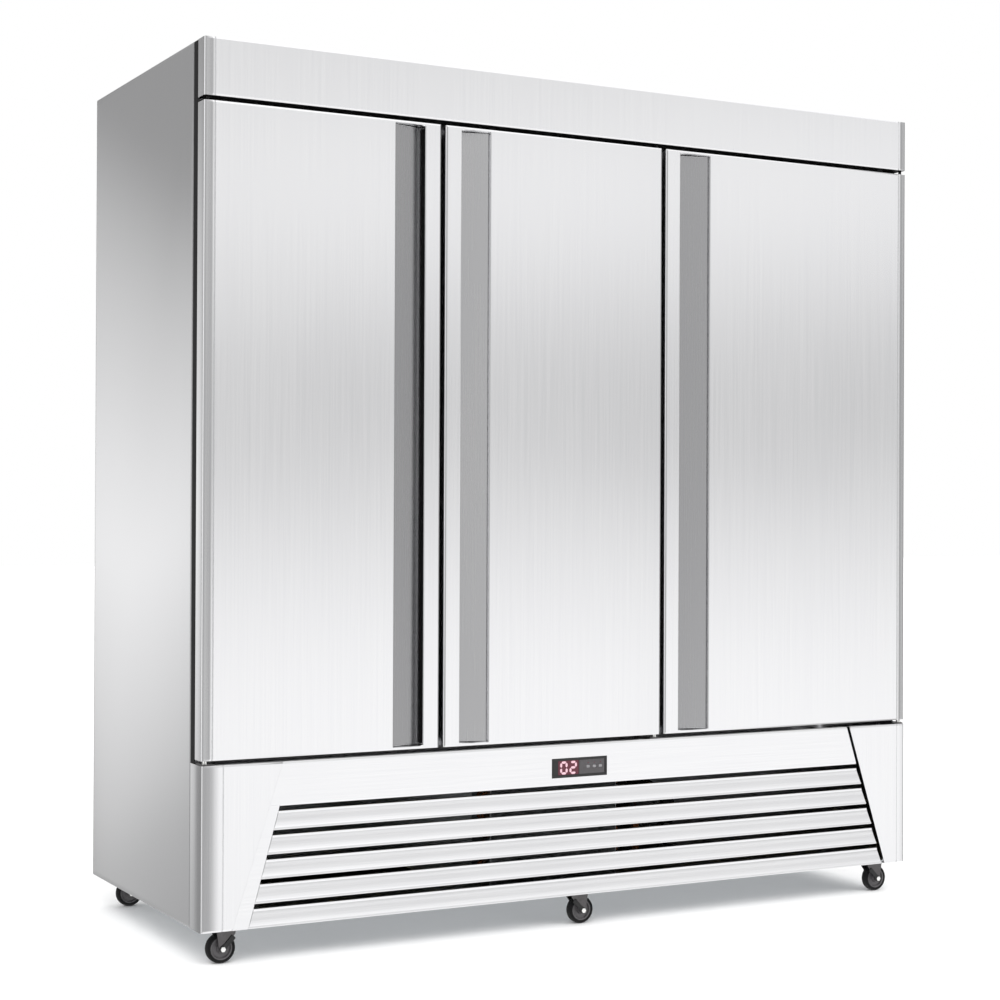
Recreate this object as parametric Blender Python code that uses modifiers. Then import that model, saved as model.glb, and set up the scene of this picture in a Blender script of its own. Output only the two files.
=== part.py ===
"""Three-door reach-in refrigerator with a bottom-mounted refrigeration unit.

Units are metres. The origin is on the floor under the middle of the cabinet.
+Z is up, the doors face -Y, and +X is to the right of someone facing the doors.
"""

import math

import bmesh
import bpy
from mathutils import Matrix, Vector

# Overall sizes.
WIDTH = 2.040
DEPTH = 0.830
CASTER_HEIGHT = 0.082
LOWER_HEIGHT = 0.380
DOOR_HEIGHT = 1.506
HEADER_HEIGHT = 0.134
SEAM = 0.011

# Doors. The three doors are not equally wide.
DOOR_1_WIDTH = 0.6035
DOOR_2_WIDTH = 0.625
DOOR_GAP = 0.011
DOOR_THICKNESS = 0.060
SKIN_DEPTH = 0.045
LINER_INSET = 0.014
GASKET_INSET = 0.016
GASKET_WIDTH = 0.022
GASKET_THICKNESS = 0.014
DOOR_CORNER = 0.007
PIVOT_INSET = 0.012

# Full-height handle channels: a lip strip at the free edge, then a sloping recess.
LIP_WIDTH = 0.044
LIP_THICKNESS = 0.004
LIP_UNDERCUT = 0.010
CHANNEL_WIDTHS = (0.080, 0.080, 0.093)
CHANNEL_DEPTH = 0.030
CHANNEL_FLOOR = 0.030
CHANNEL_END = 0.012

# Cabinet shell.
SHEET = 0.002
FOAM = 0.055
LINER = 0.002
FRAME_THICKNESS = 0.020
SIDE_INSET = 0.062
MULLION_INSET = 0.045
OPENING_INSET = 0.045
SIDE_GROOVE = 0.012
HEADER_WALL = 0.003
FRAME_SKIRT = 0.060
BASE_THICKNESS = 0.003

# Lower front: two end panels with slanted inner edges, and a louvred middle panel.
PANEL_THICKNESS = 0.018
PANEL_RETURN = 0.002
SLANT_TOP = 0.196
SLANT_BOTTOM = 0.073
SLANT_GAP = 0.003
SLOT_COUNT = 5
SLOT_FIRST = 0.1075
SLOT_PITCH = 0.0555
SLOT_HEIGHT = 0.011
SLOT_SIDE_LEFT = 0.030
SLOT_SIDE_RIGHT = 0.005

# Temperature controller.
CONTROLLER_WIDTH = 0.160
CONTROLLER_HEIGHT = 0.048
CONTROLLER_DEPTH = 0.026
CONTROLLER_SETBACK = 0.002
CONTROLLER_OFFSET = -0.022
CONTROLLER_DROP = 0.059
BUTTON_COUNT = 3
BUTTON_WIDTH = 0.010
BUTTON_HEIGHT = 0.007
BUTTON_DEPTH = 0.005
BUTTON_TRAVEL = 0.0012
BUTTON_PITCH = 0.018
BUTTON_FIRST = 0.026

# Hinges.
PIN_RADIUS = 0.004
PIN_HEIGHT = 0.014
PIN_CLEARANCE = 0.0005
HINGE_PLATE = 0.003
HINGE_HALF = 0.018
HINGE_FLANGE = 0.045
RAIL_FRONT_DEPTH = 0.030

# Shelves and the pieces of the cooling system.
SHELVES_PER_BAY = 3
SHELF_THICKNESS = 0.008
SHELF_SIDE_GAP = 0.008
SHELF_FRONT = 0.085
SHELF_BACK_GAP = 0.030
SHELF_BAR = 0.010
SHELF_COLUMNS = 6
SHELF_ROWS = 2
COVER_WIDTH = 1.300
COVER_DEPTH = 0.210
COVER_HEIGHT = 0.160
COVER_WALL = 0.003
EVAPORATOR_FAN_SPACING = 0.640
EVAPORATOR_FAN_RADIUS = 0.060
CONDENSER_FAN_RADIUS = 0.110
FAN_TIP_GAP = 0.006
FAN_THICKNESS = 0.016
FAN_BLADES = 5
COMPRESSOR_RADIUS = 0.085
COMPRESSOR_HEIGHT = 0.200
COMPRESSOR_X = 0.480
COMPRESSOR_Y = 0.120
CONDENSER_WIDTH = 0.380
CONDENSER_HEIGHT = 0.280
CONDENSER_DEPTH = 0.060
SHROUD_DEPTH = 0.040
CONDENSER_Y = -0.250

# Casters.
CASTER_INSET_X = 0.074
CASTER_INSET_Y = 0.050
CASTER_PAD = 0.060
CASTER_PAD_THICKNESS = 0.003
WHEEL_RADIUS = 0.035
WHEEL_WIDTH = 0.022
WHEEL_EDGE = 0.003
AXLE_RADIUS = 0.004
BORE_CLEARANCE = 0.0005
FORK_SHEET = 0.003
FORK_GAP = 0.004
FORK_HALF = 0.024
FORK_FOOT = 0.009
CASTER_TRAIL = 0.009
LEVER_THICKNESS = 0.0025
LEVER_REACH = 0.027
LEVER_RISE = 0.028
LEVER_HALF = 0.0065
NUT_RADIUS = 0.0065
NUT_THICKNESS = 0.003

FIT = 0.0003
ROUND_STEPS = 20

# Levels and planes that follow from the sizes above.
LEFT = -WIDTH / 2
RIGHT = WIDTH / 2
FRONT = -DEPTH / 2
BACK = DEPTH / 2
BODY_BOTTOM = CASTER_HEIGHT
LOWER_TOP = BODY_BOTTOM + LOWER_HEIGHT
DOOR_BOTTOM = LOWER_TOP + SEAM
DOOR_TOP = DOOR_BOTTOM + DOOR_HEIGHT
HEADER_BOTTOM = DOOR_TOP + SEAM
TOP = HEADER_BOTTOM + HEADER_HEIGHT
FRAME_FRONT = FRONT + DOOR_THICKNESS + GASKET_THICKNESS + 2 * FIT
FRAME_BACK = FRAME_FRONT + FRAME_THICKNESS
WALL = SHEET + FIT + FOAM + FIT + LINER
CAVITY_LEFT = LEFT + WALL
CAVITY_RIGHT = RIGHT - WALL
CAVITY_BACK = BACK - WALL
CAVITY_FLOOR = DOOR_BOTTOM + OPENING_INSET
CAVITY_TOP = TOP - WALL
OPENING_TOP = DOOR_TOP - OPENING_INSET
COVER_BOTTOM = CAVITY_TOP - FIT - COVER_HEIGHT
DOOR_3_WIDTH = WIDTH - DOOR_1_WIDTH - DOOR_2_WIDTH - 2 * DOOR_GAP
DOOR_1 = (LEFT, LEFT + DOOR_1_WIDTH)
DOOR_2 = (DOOR_1[1] + DOOR_GAP, DOOR_1[1] + DOOR_GAP + DOOR_2_WIDTH)
DOOR_3 = (RIGHT - DOOR_3_WIDTH, RIGHT)
DOORS = (DOOR_1, DOOR_2, DOOR_3)
HINGED_LEFT = (True, False, False)
MULLION_1 = (DOOR_1[1] + DOOR_2[0]) / 2
MULLION_2 = (DOOR_2[1] + DOOR_3[0]) / 2
BAY_OPENINGS = (
    (LEFT + SIDE_INSET, MULLION_1 - MULLION_INSET),
    (MULLION_1 + MULLION_INSET, MULLION_2 - MULLION_INSET),
    (MULLION_2 + MULLION_INSET, RIGHT - SIDE_INSET),
)
BAYS = ((CAVITY_LEFT, MULLION_1), (MULLION_1, MULLION_2), (MULLION_2, CAVITY_RIGHT))
AXLE_HEIGHT = WHEEL_RADIUS
LEG_INSIDE = WHEEL_WIDTH / 2 + FORK_GAP
LEG_OUTSIDE = LEG_INSIDE + FORK_SHEET


def start_scene():
    """Clears the scene and makes one collection for the pieces and one for their cutters."""
    for old in list(bpy.data.objects):
        bpy.data.objects.remove(old, do_unlink=True)
    pieces = bpy.data.collections.new("reach_in_refrigerator")
    helpers = bpy.data.collections.new("cutters")
    helpers.hide_render = True
    bpy.context.scene.collection.children.link(pieces)
    bpy.context.scene.collection.children.link(helpers)
    return pieces, helpers


PIECES, HELPERS = start_scene()


def make_material(name, color, roughness, metallic):
    made = bpy.data.materials.new(name)
    made.use_nodes = True
    shader = made.node_tree.nodes["Principled BSDF"]
    shader.inputs["Base Color"].default_value = (*color, 1.0)
    shader.inputs["Roughness"].default_value = roughness
    shader.inputs["Metallic"].default_value = metallic
    made.diffuse_color = (*color, 1.0)
    return made


STEEL = make_material("brushed stainless steel", (0.62, 0.62, 0.63), 0.35, 1.0)
GALVANISED = make_material("galvanised sheet", (0.45, 0.46, 0.47), 0.5, 1.0)
WHITE_LINER = make_material("white aluminium liner", (0.85, 0.86, 0.86), 0.4, 0.2)
FOAM_YELLOW = make_material("rigid foam", (0.80, 0.68, 0.40), 0.9, 0.0)
DARK_PLASTIC = make_material("dark plastic", (0.03, 0.03, 0.03), 0.45, 0.0)
GREY_VINYL = make_material("grey vinyl gasket", (0.30, 0.30, 0.31), 0.6, 0.0)
GREY_BUTTON = make_material("grey button", (0.45, 0.45, 0.46), 0.5, 0.0)
BLACK_PAINT = make_material("black enamel", (0.02, 0.02, 0.02), 0.4, 0.0)
COIL_FIN = make_material("aluminium fins", (0.55, 0.56, 0.57), 0.5, 1.0)
SHELF_COAT = make_material("coated shelf wire", (0.75, 0.76, 0.77), 0.35, 0.3)
TYRE = make_material("black caster tread", (0.02, 0.02, 0.02), 0.6, 0.0)
ZINC = make_material("zinc plated steel", (0.42, 0.42, 0.43), 0.4, 1.0)


def place(name, mesh, material, helper=False):
    """Puts a mesh into the scene as a piece, or as a hidden cutter."""
    made = bpy.data.objects.new(name, mesh)
    if helper:
        HELPERS.objects.link(made)
        made.hide_render = True
        made.display_type = "WIRE"
    else:
        PIECES.objects.link(made)
        mesh.materials.append(material)
    return made


def smooth(piece, degrees=35):
    piece.data.shade_smooth()
    piece.data.set_sharp_from_angle(angle=math.radians(degrees))


def blocks(name, corner_pairs, material=None, origin=(0, 0, 0)):
    """One mesh of boxes, each given by its low and high corners. A cutter when it has no material."""
    shape = bmesh.new()
    origin = Vector(origin)
    for low, high in corner_pairs:
        low, high = Vector(low), Vector(high)
        size = Matrix.Diagonal((*(high - low), 1))
        middle = Matrix.Translation((low + high) / 2 - origin)
        bmesh.ops.create_cube(shape, size=1, matrix=middle @ size)
    mesh = bpy.data.meshes.new(name)
    shape.to_mesh(mesh)
    shape.free()
    made = place(name, mesh, material, helper=material is None)
    made.location = origin
    return made


def block(name, low, high, material=None, origin=(0, 0, 0)):
    return blocks(name, [(low, high)], material, origin)


def rod(name, radius, start, end, material=None, steps=ROUND_STEPS, origin=(0, 0, 0)):
    """A cylinder from start to end."""
    start, end, origin = Vector(start), Vector(end), Vector(origin)
    run = end - start
    turn = Vector((0, 0, 1)).rotation_difference(run).to_matrix().to_4x4()
    where = Matrix.Translation((start + end) / 2 - origin) @ turn
    shape = bmesh.new()
    bmesh.ops.create_cone(
        shape,
        cap_ends=True,
        segments=steps,
        radius1=radius,
        radius2=radius,
        depth=run.length,
        matrix=where,
    )
    mesh = bpy.data.meshes.new(name)
    shape.to_mesh(mesh)
    shape.free()
    made = place(name, mesh, material, helper=material is None)
    made.location = origin
    return made


def prism(name, outline, low, high, material=None, upright=False, origin=(0, 0, 0)):
    """A flat outline carried straight from low to high.

    The outline lies in XY and runs along Z, or, when upright, lies in XZ and runs along Y.
    """
    curve = bpy.data.curves.new(name, "CURVE")
    curve.dimensions = "2D"
    curve.fill_mode = "BOTH"
    curve.extrude = (high - low) / 2
    spline = curve.splines.new("POLY")
    spline.points.add(len(outline) - 1)
    for point, (across, along) in zip(spline.points, outline):
        point.co = (across, along, 0, 1)
    spline.use_cyclic_u = True
    guide = bpy.data.objects.new(name + "_outline", curve)
    HELPERS.objects.link(guide)
    bpy.context.view_layer.update()
    evaluated = guide.evaluated_get(bpy.context.evaluated_depsgraph_get())
    mesh = bpy.data.meshes.new_from_object(evaluated)
    bpy.data.objects.remove(guide, do_unlink=True)
    middle = (low + high) / 2
    if upright:
        where = Matrix.Translation((0, middle, 0)) @ Matrix.Rotation(math.pi / 2, 4, "X")
    else:
        where = Matrix.Translation((0, 0, middle))
    shape = bmesh.new()
    shape.from_mesh(mesh)
    bmesh.ops.remove_doubles(shape, verts=shape.verts, dist=1e-6)
    where = Matrix.Translation(-Vector(origin)) @ where
    bmesh.ops.transform(shape, matrix=where, verts=shape.verts)
    bmesh.ops.recalc_face_normals(shape, faces=shape.faces)
    shape.to_mesh(mesh)
    shape.free()
    mesh.name = name
    made = place(name, mesh, material, helper=material is None)
    made.location = origin
    return made


def turned(name, profile, material, origin, along_y=False, steps=ROUND_STEPS, closed=False):
    """Points (radius, height) turned about the Z axis, or about the Y axis, through the origin."""
    mesh = bpy.data.meshes.new(name)
    points = [(radius, 0, height) for radius, height in profile]
    count = len(points)
    edges = [(i, i + 1) for i in range(count - 1)]
    if closed:
        edges.append((count - 1, 0))
    mesh.from_pydata(points, edges, [])
    made = place(name, mesh, material)
    screw = made.modifiers.new("turn", "SCREW")
    screw.axis = "Z"
    screw.steps = steps
    screw.render_steps = steps
    screw.use_merge_vertices = True
    screw.merge_threshold = 0.0001
    screw.use_smooth_shade = True
    made.location = origin
    if along_y:
        made.rotation_euler = (math.pi / 2, 0, 0)
    return made


def boolean(piece, tool, operation):
    step = piece.modifiers.new(operation.lower(), "BOOLEAN")
    step.operation = operation
    step.solver = "EXACT"
    step.object = tool


def cut(piece, *tools):
    for tool in tools:
        boolean(piece, tool, "DIFFERENCE")


def join(piece, *tools):
    for tool in tools:
        boolean(piece, tool, "UNION")


def arc(center, radius, start, end, steps):
    """Points on a circle, from one angle to the other in degrees."""
    angles = [math.radians(start + (end - start) * i / steps) for i in range(steps + 1)]
    return [(center[0] + radius * math.cos(a), center[1] + radius * math.sin(a)) for a in angles]


def build_shell():
    """The outer sheet panels, the foam between them and the liner, and the front frame."""
    for side, edge, inner in (("left", LEFT, LEFT + SHEET), ("right", RIGHT, RIGHT - SHEET)):
        low = (min(edge, inner), FRAME_FRONT, BODY_BOTTOM)
        high = (max(edge, inner), BACK, TOP)
        block("side_panel_" + side, low, high, STEEL)
    inside_left = LEFT + SHEET + FIT
    inside_right = RIGHT - SHEET - FIT
    block(
        "top_panel",
        (inside_left, FRAME_FRONT, TOP - SHEET),
        (inside_right, BACK, TOP),
        STEEL,
    )
    block(
        "back_panel",
        (inside_left, BACK - SHEET, BODY_BOTTOM),
        (inside_right, BACK, TOP - SHEET - FIT),
        GALVANISED,
    )
    foam_low = (inside_left, FRAME_BACK + FIT, CAVITY_FLOOR - LINER - FIT - FOAM)
    foam_high = (inside_right, BACK - SHEET - FIT, TOP - SHEET - FIT)
    foam = block("insulation_foam", foam_low, foam_high, FOAM_YELLOW)
    hollow_low = (CAVITY_LEFT - LINER - FIT, FRONT, CAVITY_FLOOR - LINER - FIT)
    hollow_high = (CAVITY_RIGHT + LINER + FIT, CAVITY_BACK + LINER + FIT, CAVITY_TOP + LINER + FIT)
    cut(foam, block("foam_hollow", hollow_low, hollow_high))
    liner_low = (CAVITY_LEFT - LINER, FRAME_BACK + FIT, CAVITY_FLOOR - LINER)
    liner_high = (CAVITY_RIGHT + LINER, CAVITY_BACK + LINER, CAVITY_TOP + LINER)
    liner = block("inner_liner", liner_low, liner_high, WHITE_LINER)
    cavity_low = (CAVITY_LEFT, FRONT, CAVITY_FLOOR)
    cavity_high = (CAVITY_RIGHT, CAVITY_BACK, CAVITY_TOP)
    cut(liner, block("liner_hollow", cavity_low, cavity_high))
    frame = block(
        "face_frame",
        (inside_left, FRAME_FRONT, LOWER_TOP - FRAME_SKIRT),
        (inside_right, FRAME_BACK, TOP - SHEET - FIT),
        STEEL,
    )
    for index, (left, right) in enumerate(BAY_OPENINGS):
        low = (left, FRONT, CAVITY_FLOOR)
        high = (right, BACK, OPENING_TOP)
        cut(frame, block(f"bay_opening_{index + 1}", low, high))


def build_header():
    """A folded cover above the doors, open behind, with a groove along each side at its back."""
    header_back = FRAME_FRONT - FIT
    header = block(
        "header_fascia",
        (LEFT, FRONT, HEADER_BOTTOM),
        (RIGHT, header_back, TOP),
        STEEL,
    )
    groove_front = FRONT + SKIN_DEPTH
    grooves = []
    for edge, inward in ((LEFT, 1), (RIGHT, -1)):
        xs = sorted((edge - inward * FIT, edge + inward * SIDE_GROOVE))
        low = (xs[0], groove_front, HEADER_BOTTOM - FIT)
        grooves.append((low, (xs[1], FRAME_FRONT, TOP + FIT)))
    hollow_edge = SIDE_GROOVE + HEADER_WALL
    hollow = (
        (LEFT + hollow_edge, FRONT + HEADER_WALL, HEADER_BOTTOM + HINGE_PLATE + HEADER_WALL),
        (RIGHT - hollow_edge, FRAME_FRONT, TOP - HEADER_WALL),
    )
    rebate_top = HEADER_BOTTOM + HINGE_PLATE + FIT
    rebate = [
        (
            (LEFT + HEADER_WALL, FRONT + HEADER_WALL, HEADER_BOTTOM - FIT),
            (RIGHT - HEADER_WALL, FRONT + RAIL_FRONT_DEPTH + FIT, rebate_top),
        ),
        (
            (LEFT + SIDE_GROOVE + FIT, FRONT + HEADER_WALL, HEADER_BOTTOM - FIT),
            (RIGHT - SIDE_GROOVE - FIT, FRAME_FRONT, rebate_top),
        ),
    ]
    cut(header, blocks("header_grooves", grooves), blocks("header_hollow", [hollow]))
    for index, corners in enumerate(rebate):
        cut(header, blocks(f"header_rebate_{index + 1}", [corners]))


def slant_at(height):
    """How far in from the cabinet's side the slanted joint lies at a height above the panel's bottom."""
    share = height / LOWER_HEIGHT
    return SLANT_BOTTOM + (SLANT_TOP - SLANT_BOTTOM) * share


def controller_box(grow=0.0):
    """Low and high corners, in X and Z, of the controller's face."""
    middle = (CONTROLLER_OFFSET, LOWER_TOP - CONTROLLER_DROP)
    half = (CONTROLLER_WIDTH / 2 + grow, CONTROLLER_HEIGHT / 2 + grow)
    return (middle[0] - half[0], middle[1] - half[1]), (middle[0] + half[0], middle[1] + half[1])


def build_lower_front():
    """The two end panels and the louvred panel between them."""
    panel_back = FRONT + PANEL_THICKNESS
    for side, edge, inward in (("left", LEFT, 1), ("right", RIGHT, -1)):
        outline = [
            (edge, BODY_BOTTOM),
            (edge + inward * SLANT_BOTTOM, BODY_BOTTOM),
            (edge + inward * SLANT_TOP, LOWER_TOP),
            (edge, LOWER_TOP),
        ]
        panel = prism("lower_panel_" + side, outline, FRONT, panel_back, STEEL, upright=True)
        xs = sorted((edge, edge + inward * PANEL_RETURN))
        wall_low = (xs[0], FRONT + PANEL_THICKNESS / 2, BODY_BOTTOM)
        wall_high = (xs[1], FRAME_FRONT - FIT, LOWER_TOP)
        join(panel, block(f"lower_return_{side}", wall_low, wall_high))
    foot = LEFT + SLANT_BOTTOM + SLANT_GAP
    head = LEFT + SLANT_TOP + SLANT_GAP
    outline = [(foot, BODY_BOTTOM), (-foot, BODY_BOTTOM), (-head, LOWER_TOP), (head, LOWER_TOP)]
    grille = prism("grille_panel", outline, FRONT, panel_back, STEEL, upright=True)
    slots = []
    for index in range(SLOT_COUNT):
        level = LOWER_TOP - SLOT_FIRST - index * SLOT_PITCH
        reach = RIGHT - slant_at(level - BODY_BOTTOM) - SLANT_GAP
        low = (SLOT_SIDE_LEFT - reach, FRONT - FIT, level - SLOT_HEIGHT / 2)
        high = (reach - SLOT_SIDE_RIGHT, panel_back + FIT, level + SLOT_HEIGHT / 2)
        slots.append((low, high))
    cut(grille, blocks("grille_slots", slots))
    window_low, window_high = controller_box(grow=FIT)
    window = block(
        "controller_window",
        (window_low[0], FRONT - FIT, window_low[1]),
        (window_high[0], panel_back + FIT, window_high[1]),
    )
    cut(grille, window)


def build_controller():
    """The controller's housing and its push buttons, each in a pocket deep enough for its travel."""
    low, high = controller_box()
    face = FRONT + CONTROLLER_SETBACK
    housing = block(
        "controller_housing",
        (low[0], face, low[1]),
        (high[0], face + CONTROLLER_DEPTH, high[1]),
        DARK_PLASTIC,
    )
    pockets = []
    for index in range(BUTTON_COUNT):
        x = CONTROLLER_OFFSET + BUTTON_FIRST + index * BUTTON_PITCH
        z = LOWER_TOP - CONTROLLER_DROP
        half_x = BUTTON_WIDTH / 2
        half_z = BUTTON_HEIGHT / 2
        outer = face - BUTTON_TRAVEL
        origin = (x, outer, z)
        block(
            f"controller_button_{index + 1}",
            (x - half_x, outer, z - half_z),
            (x + half_x, outer + BUTTON_DEPTH, z + half_z),
            GREY_BUTTON,
            origin,
        )
        floor = outer + BUTTON_DEPTH + BUTTON_TRAVEL + FIT
        pocket_low = (x - half_x - FIT, FRONT, z - half_z - FIT)
        pocket_high = (x + half_x + FIT, floor, z + half_z + FIT)
        pockets.append((pocket_low, pocket_high))
    cut(housing, blocks("button_pockets", pockets))


def pivot_of(index):
    """X and Y of a door's hinge axis."""
    left, right = DOORS[index]
    if HINGED_LEFT[index]:
        return left + PIVOT_INSET, FRONT + PIVOT_INSET
    return right - PIVOT_INSET, FRONT + PIVOT_INSET


def channel_outline(index):
    """Plan of the handle recess: under the lip, along the floor, and up the long slope to the face."""
    left, right = DOORS[index]
    free, inward = (right, -1) if HINGED_LEFT[index] else (left, 1)
    width = CHANNEL_WIDTHS[index]
    profile = [
        (LIP_WIDTH, -FIT * 10),
        (LIP_WIDTH, LIP_THICKNESS),
        (LIP_WIDTH - LIP_UNDERCUT, LIP_THICKNESS),
        (LIP_WIDTH - LIP_UNDERCUT, CHANNEL_DEPTH),
        (LIP_WIDTH + CHANNEL_FLOOR, CHANNEL_DEPTH),
        (LIP_WIDTH + width, 0),
        (LIP_WIDTH + width, -FIT * 10),
    ]
    return [(free + inward * across, FRONT + deep) for across, deep in profile]


def build_door(index):
    """A foam-filled skin with its handle recess, an inner panel and a magnetic gasket."""
    left, right = DOORS[index]
    pivot_x, pivot_y = pivot_of(index)
    name = f"door_{index + 1}"
    origin = (pivot_x, pivot_y, DOOR_BOTTOM)
    skin_back = FRONT + SKIN_DEPTH
    corner = DOOR_CORNER
    outline = [(left, skin_back)]
    outline += arc((left + corner, FRONT + corner), corner, 180, 270, 4)
    outline += arc((right - corner, FRONT + corner), corner, 270, 360, 4)
    outline += [(right, skin_back)]
    skin = prism(name + "_skin", outline, DOOR_BOTTOM, DOOR_TOP, STEEL, origin=origin)
    recess_low = DOOR_BOTTOM + CHANNEL_END
    recess_high = DOOR_TOP - CHANNEL_END
    cut(skin, prism(name + "_recess", channel_outline(index), recess_low, recess_high))
    for end, low, high in (
        ("lower", DOOR_BOTTOM - SEAM, DOOR_BOTTOM + PIN_HEIGHT + FIT),
        ("upper", DOOR_TOP - PIN_HEIGHT - FIT, DOOR_TOP + SEAM),
    ):
        start = (pivot_x, pivot_y, low)
        finish = (pivot_x, pivot_y, high)
        cut(skin, rod(f"{name}_{end}_bore", PIN_RADIUS + PIN_CLEARANCE, start, finish))
    block(
        name + "_liner",
        (left + LINER_INSET, skin_back + FIT, DOOR_BOTTOM + LINER_INSET),
        (right - LINER_INSET, FRONT + DOOR_THICKNESS, DOOR_TOP - LINER_INSET),
        WHITE_LINER,
        origin,
    )
    seal_front = FRONT + DOOR_THICKNESS + FIT
    inner = GASKET_INSET + GASKET_WIDTH
    gasket = block(
        name + "_gasket",
        (left + GASKET_INSET, seal_front, DOOR_BOTTOM + GASKET_INSET),
        (right - GASKET_INSET, seal_front + GASKET_THICKNESS, DOOR_TOP - GASKET_INSET),
        GREY_VINYL,
        origin,
    )
    hole = block(
        name + "_gasket_hole",
        (left + inner, FRONT, DOOR_BOTTOM + inner),
        (right - inner, BACK, DOOR_TOP - inner),
    )
    cut(gasket, hole)
    smooth(skin)


def build_hinges():
    """A lower bracket with its pin for each door, and one upper rail that carries three pins."""
    flange_back = FRAME_FRONT - FIT
    for index in range(len(DOORS)):
        x, y = pivot_of(index)
        name = f"hinge_bracket_{index + 1}"
        low_x = max(x - HINGE_HALF, LEFT + PANEL_RETURN + FIT)
        high_x = min(x + HINGE_HALF, RIGHT - PANEL_RETURN - FIT)
        plate_bottom = LOWER_TOP + FIT
        plate_top = plate_bottom + HINGE_PLATE
        bracket = block(
            name,
            (low_x, FRONT + PIN_RADIUS, plate_bottom),
            (high_x, flange_back, plate_top),
            ZINC,
        )
        flange = block(
            name + "_flange",
            (low_x, flange_back - HINGE_PLATE, LOWER_TOP - HINGE_FLANGE),
            (high_x, flange_back, plate_top - HINGE_PLATE / 2),
        )
        pin_bottom = (x, y, plate_bottom + FIT)
        pin = rod(name + "_pin", PIN_RADIUS, pin_bottom, (x, y, DOOR_BOTTOM + PIN_HEIGHT))
        join(bracket, flange, pin)
    rail_top = HEADER_BOTTOM + HINGE_PLATE
    rail = block(
        "top_hinge_rail",
        (LEFT + SIDE_GROOVE + 2 * FIT, FRONT + HEADER_WALL + FIT, HEADER_BOTTOM),
        (RIGHT - SIDE_GROOVE - 2 * FIT, flange_back, rail_top),
        ZINC,
    )
    nose = block(
        "top_hinge_nose",
        (LEFT + HEADER_WALL + FIT, FRONT + HEADER_WALL + FIT, HEADER_BOTTOM),
        (RIGHT - HEADER_WALL - FIT, FRONT + RAIL_FRONT_DEPTH, rail_top),
    )
    join(rail, nose)
    for index in range(len(DOORS)):
        x, y = pivot_of(index)
        pin_bottom = (x, y, DOOR_TOP - PIN_HEIGHT)
        pin = rod(f"top_hinge_pin_{index + 1}", PIN_RADIUS, pin_bottom, (x, y, rail_top - FIT))
        join(rail, pin)


def shelf_levels():
    pitch = (COVER_BOTTOM - CAVITY_FLOOR) / (SHELVES_PER_BAY + 1)
    return [CAVITY_FLOOR + pitch * (i + 1) for i in range(SHELVES_PER_BAY)]


def build_shelves():
    """Open shelves, each a flat lattice with a border and bars."""
    front = FRAME_BACK + SHELF_FRONT
    back = CAVITY_BACK - SHELF_BACK_GAP
    for bay, (bay_left, bay_right) in enumerate(BAYS):
        left = bay_left + SHELF_SIDE_GAP
        right = bay_right - SHELF_SIDE_GAP
        column = (right - left - SHELF_BAR) / SHELF_COLUMNS
        row = (back - front - SHELF_BAR) / SHELF_ROWS
        for level, top in enumerate(shelf_levels()):
            name = f"shelf_{bay + 1}_{level + 1}"
            bottom = top - SHELF_THICKNESS
            shelf = block(name, (left, front, bottom), (right, back, top), SHELF_COAT)
            holes = []
            for i in range(SHELF_COLUMNS):
                for j in range(SHELF_ROWS):
                    x = left + SHELF_BAR + i * column
                    y = front + SHELF_BAR + j * row
                    low = (x, y, bottom - FIT)
                    high = (x + column - SHELF_BAR, y + row - SHELF_BAR, top + FIT)
                    holes.append((low, high))
            cut(shelf, blocks(name + "_holes", holes))


def fan_outline(radius, hub_share=0.36, blade_share=0.62):
    """A hub circle that rises to the blade radius over part of each blade's pitch."""
    points = []
    pitch = 360 / FAN_BLADES
    for blade in range(FAN_BLADES):
        start = blade * pitch
        tip_start = start + pitch * 0.12
        points += arc((0, 0), radius, tip_start, start + pitch * blade_share, 4)
        points += arc((0, 0), radius * hub_share, start + pitch * 0.70, start + pitch, 2)
    return points


def build_fan(name, center, ring_radius, material):
    """A fan that turns about the Y axis through its centre."""
    outline = fan_outline(ring_radius - FAN_TIP_GAP)
    low = center[1] - FAN_THICKNESS / 2
    fan = prism(name, outline, low - center[1], low - center[1] + FAN_THICKNESS, material, upright=True)
    fan.location = center
    smooth(fan)


def build_cooling():
    """The evaporator cover and fans at the ceiling, and the condensing unit in the lower compartment."""
    cover_back = CAVITY_BACK - FIT
    cover_front = cover_back - COVER_DEPTH
    cover_top = COVER_BOTTOM + COVER_HEIGHT
    cover = block(
        "evaporator_cover",
        (-COVER_WIDTH / 2, cover_front, COVER_BOTTOM),
        (COVER_WIDTH / 2, cover_back, cover_top),
        WHITE_LINER,
    )
    corner = block(
        "evaporator_corner",
        (-COVER_WIDTH / 2 - FIT, cover_front + COVER_WALL, COVER_BOTTOM + COVER_WALL),
        (COVER_WIDTH / 2 + FIT, BACK, TOP),
    )
    cut(cover, corner)
    fan_z = COVER_BOTTOM + COVER_HEIGHT / 2
    for side, x in (("left", -EVAPORATOR_FAN_SPACING / 2), ("right", EVAPORATOR_FAN_SPACING / 2)):
        start = (x, cover_front - FIT, fan_z)
        end = (x, cover_front + 2 * COVER_WALL, fan_z)
        cut(cover, rod(f"evaporator_port_{side}", EVAPORATOR_FAN_RADIUS, start, end))
        center = (x, cover_front + COVER_WALL / 2 + FAN_THICKNESS / 2, fan_z)
        build_fan("evaporator_fan_" + side, center, EVAPORATOR_FAN_RADIUS, DARK_PLASTIC)
    floor = BODY_BOTTOM + BASE_THICKNESS + FIT
    build_condenser(floor)
    build_compressor(floor)


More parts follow.
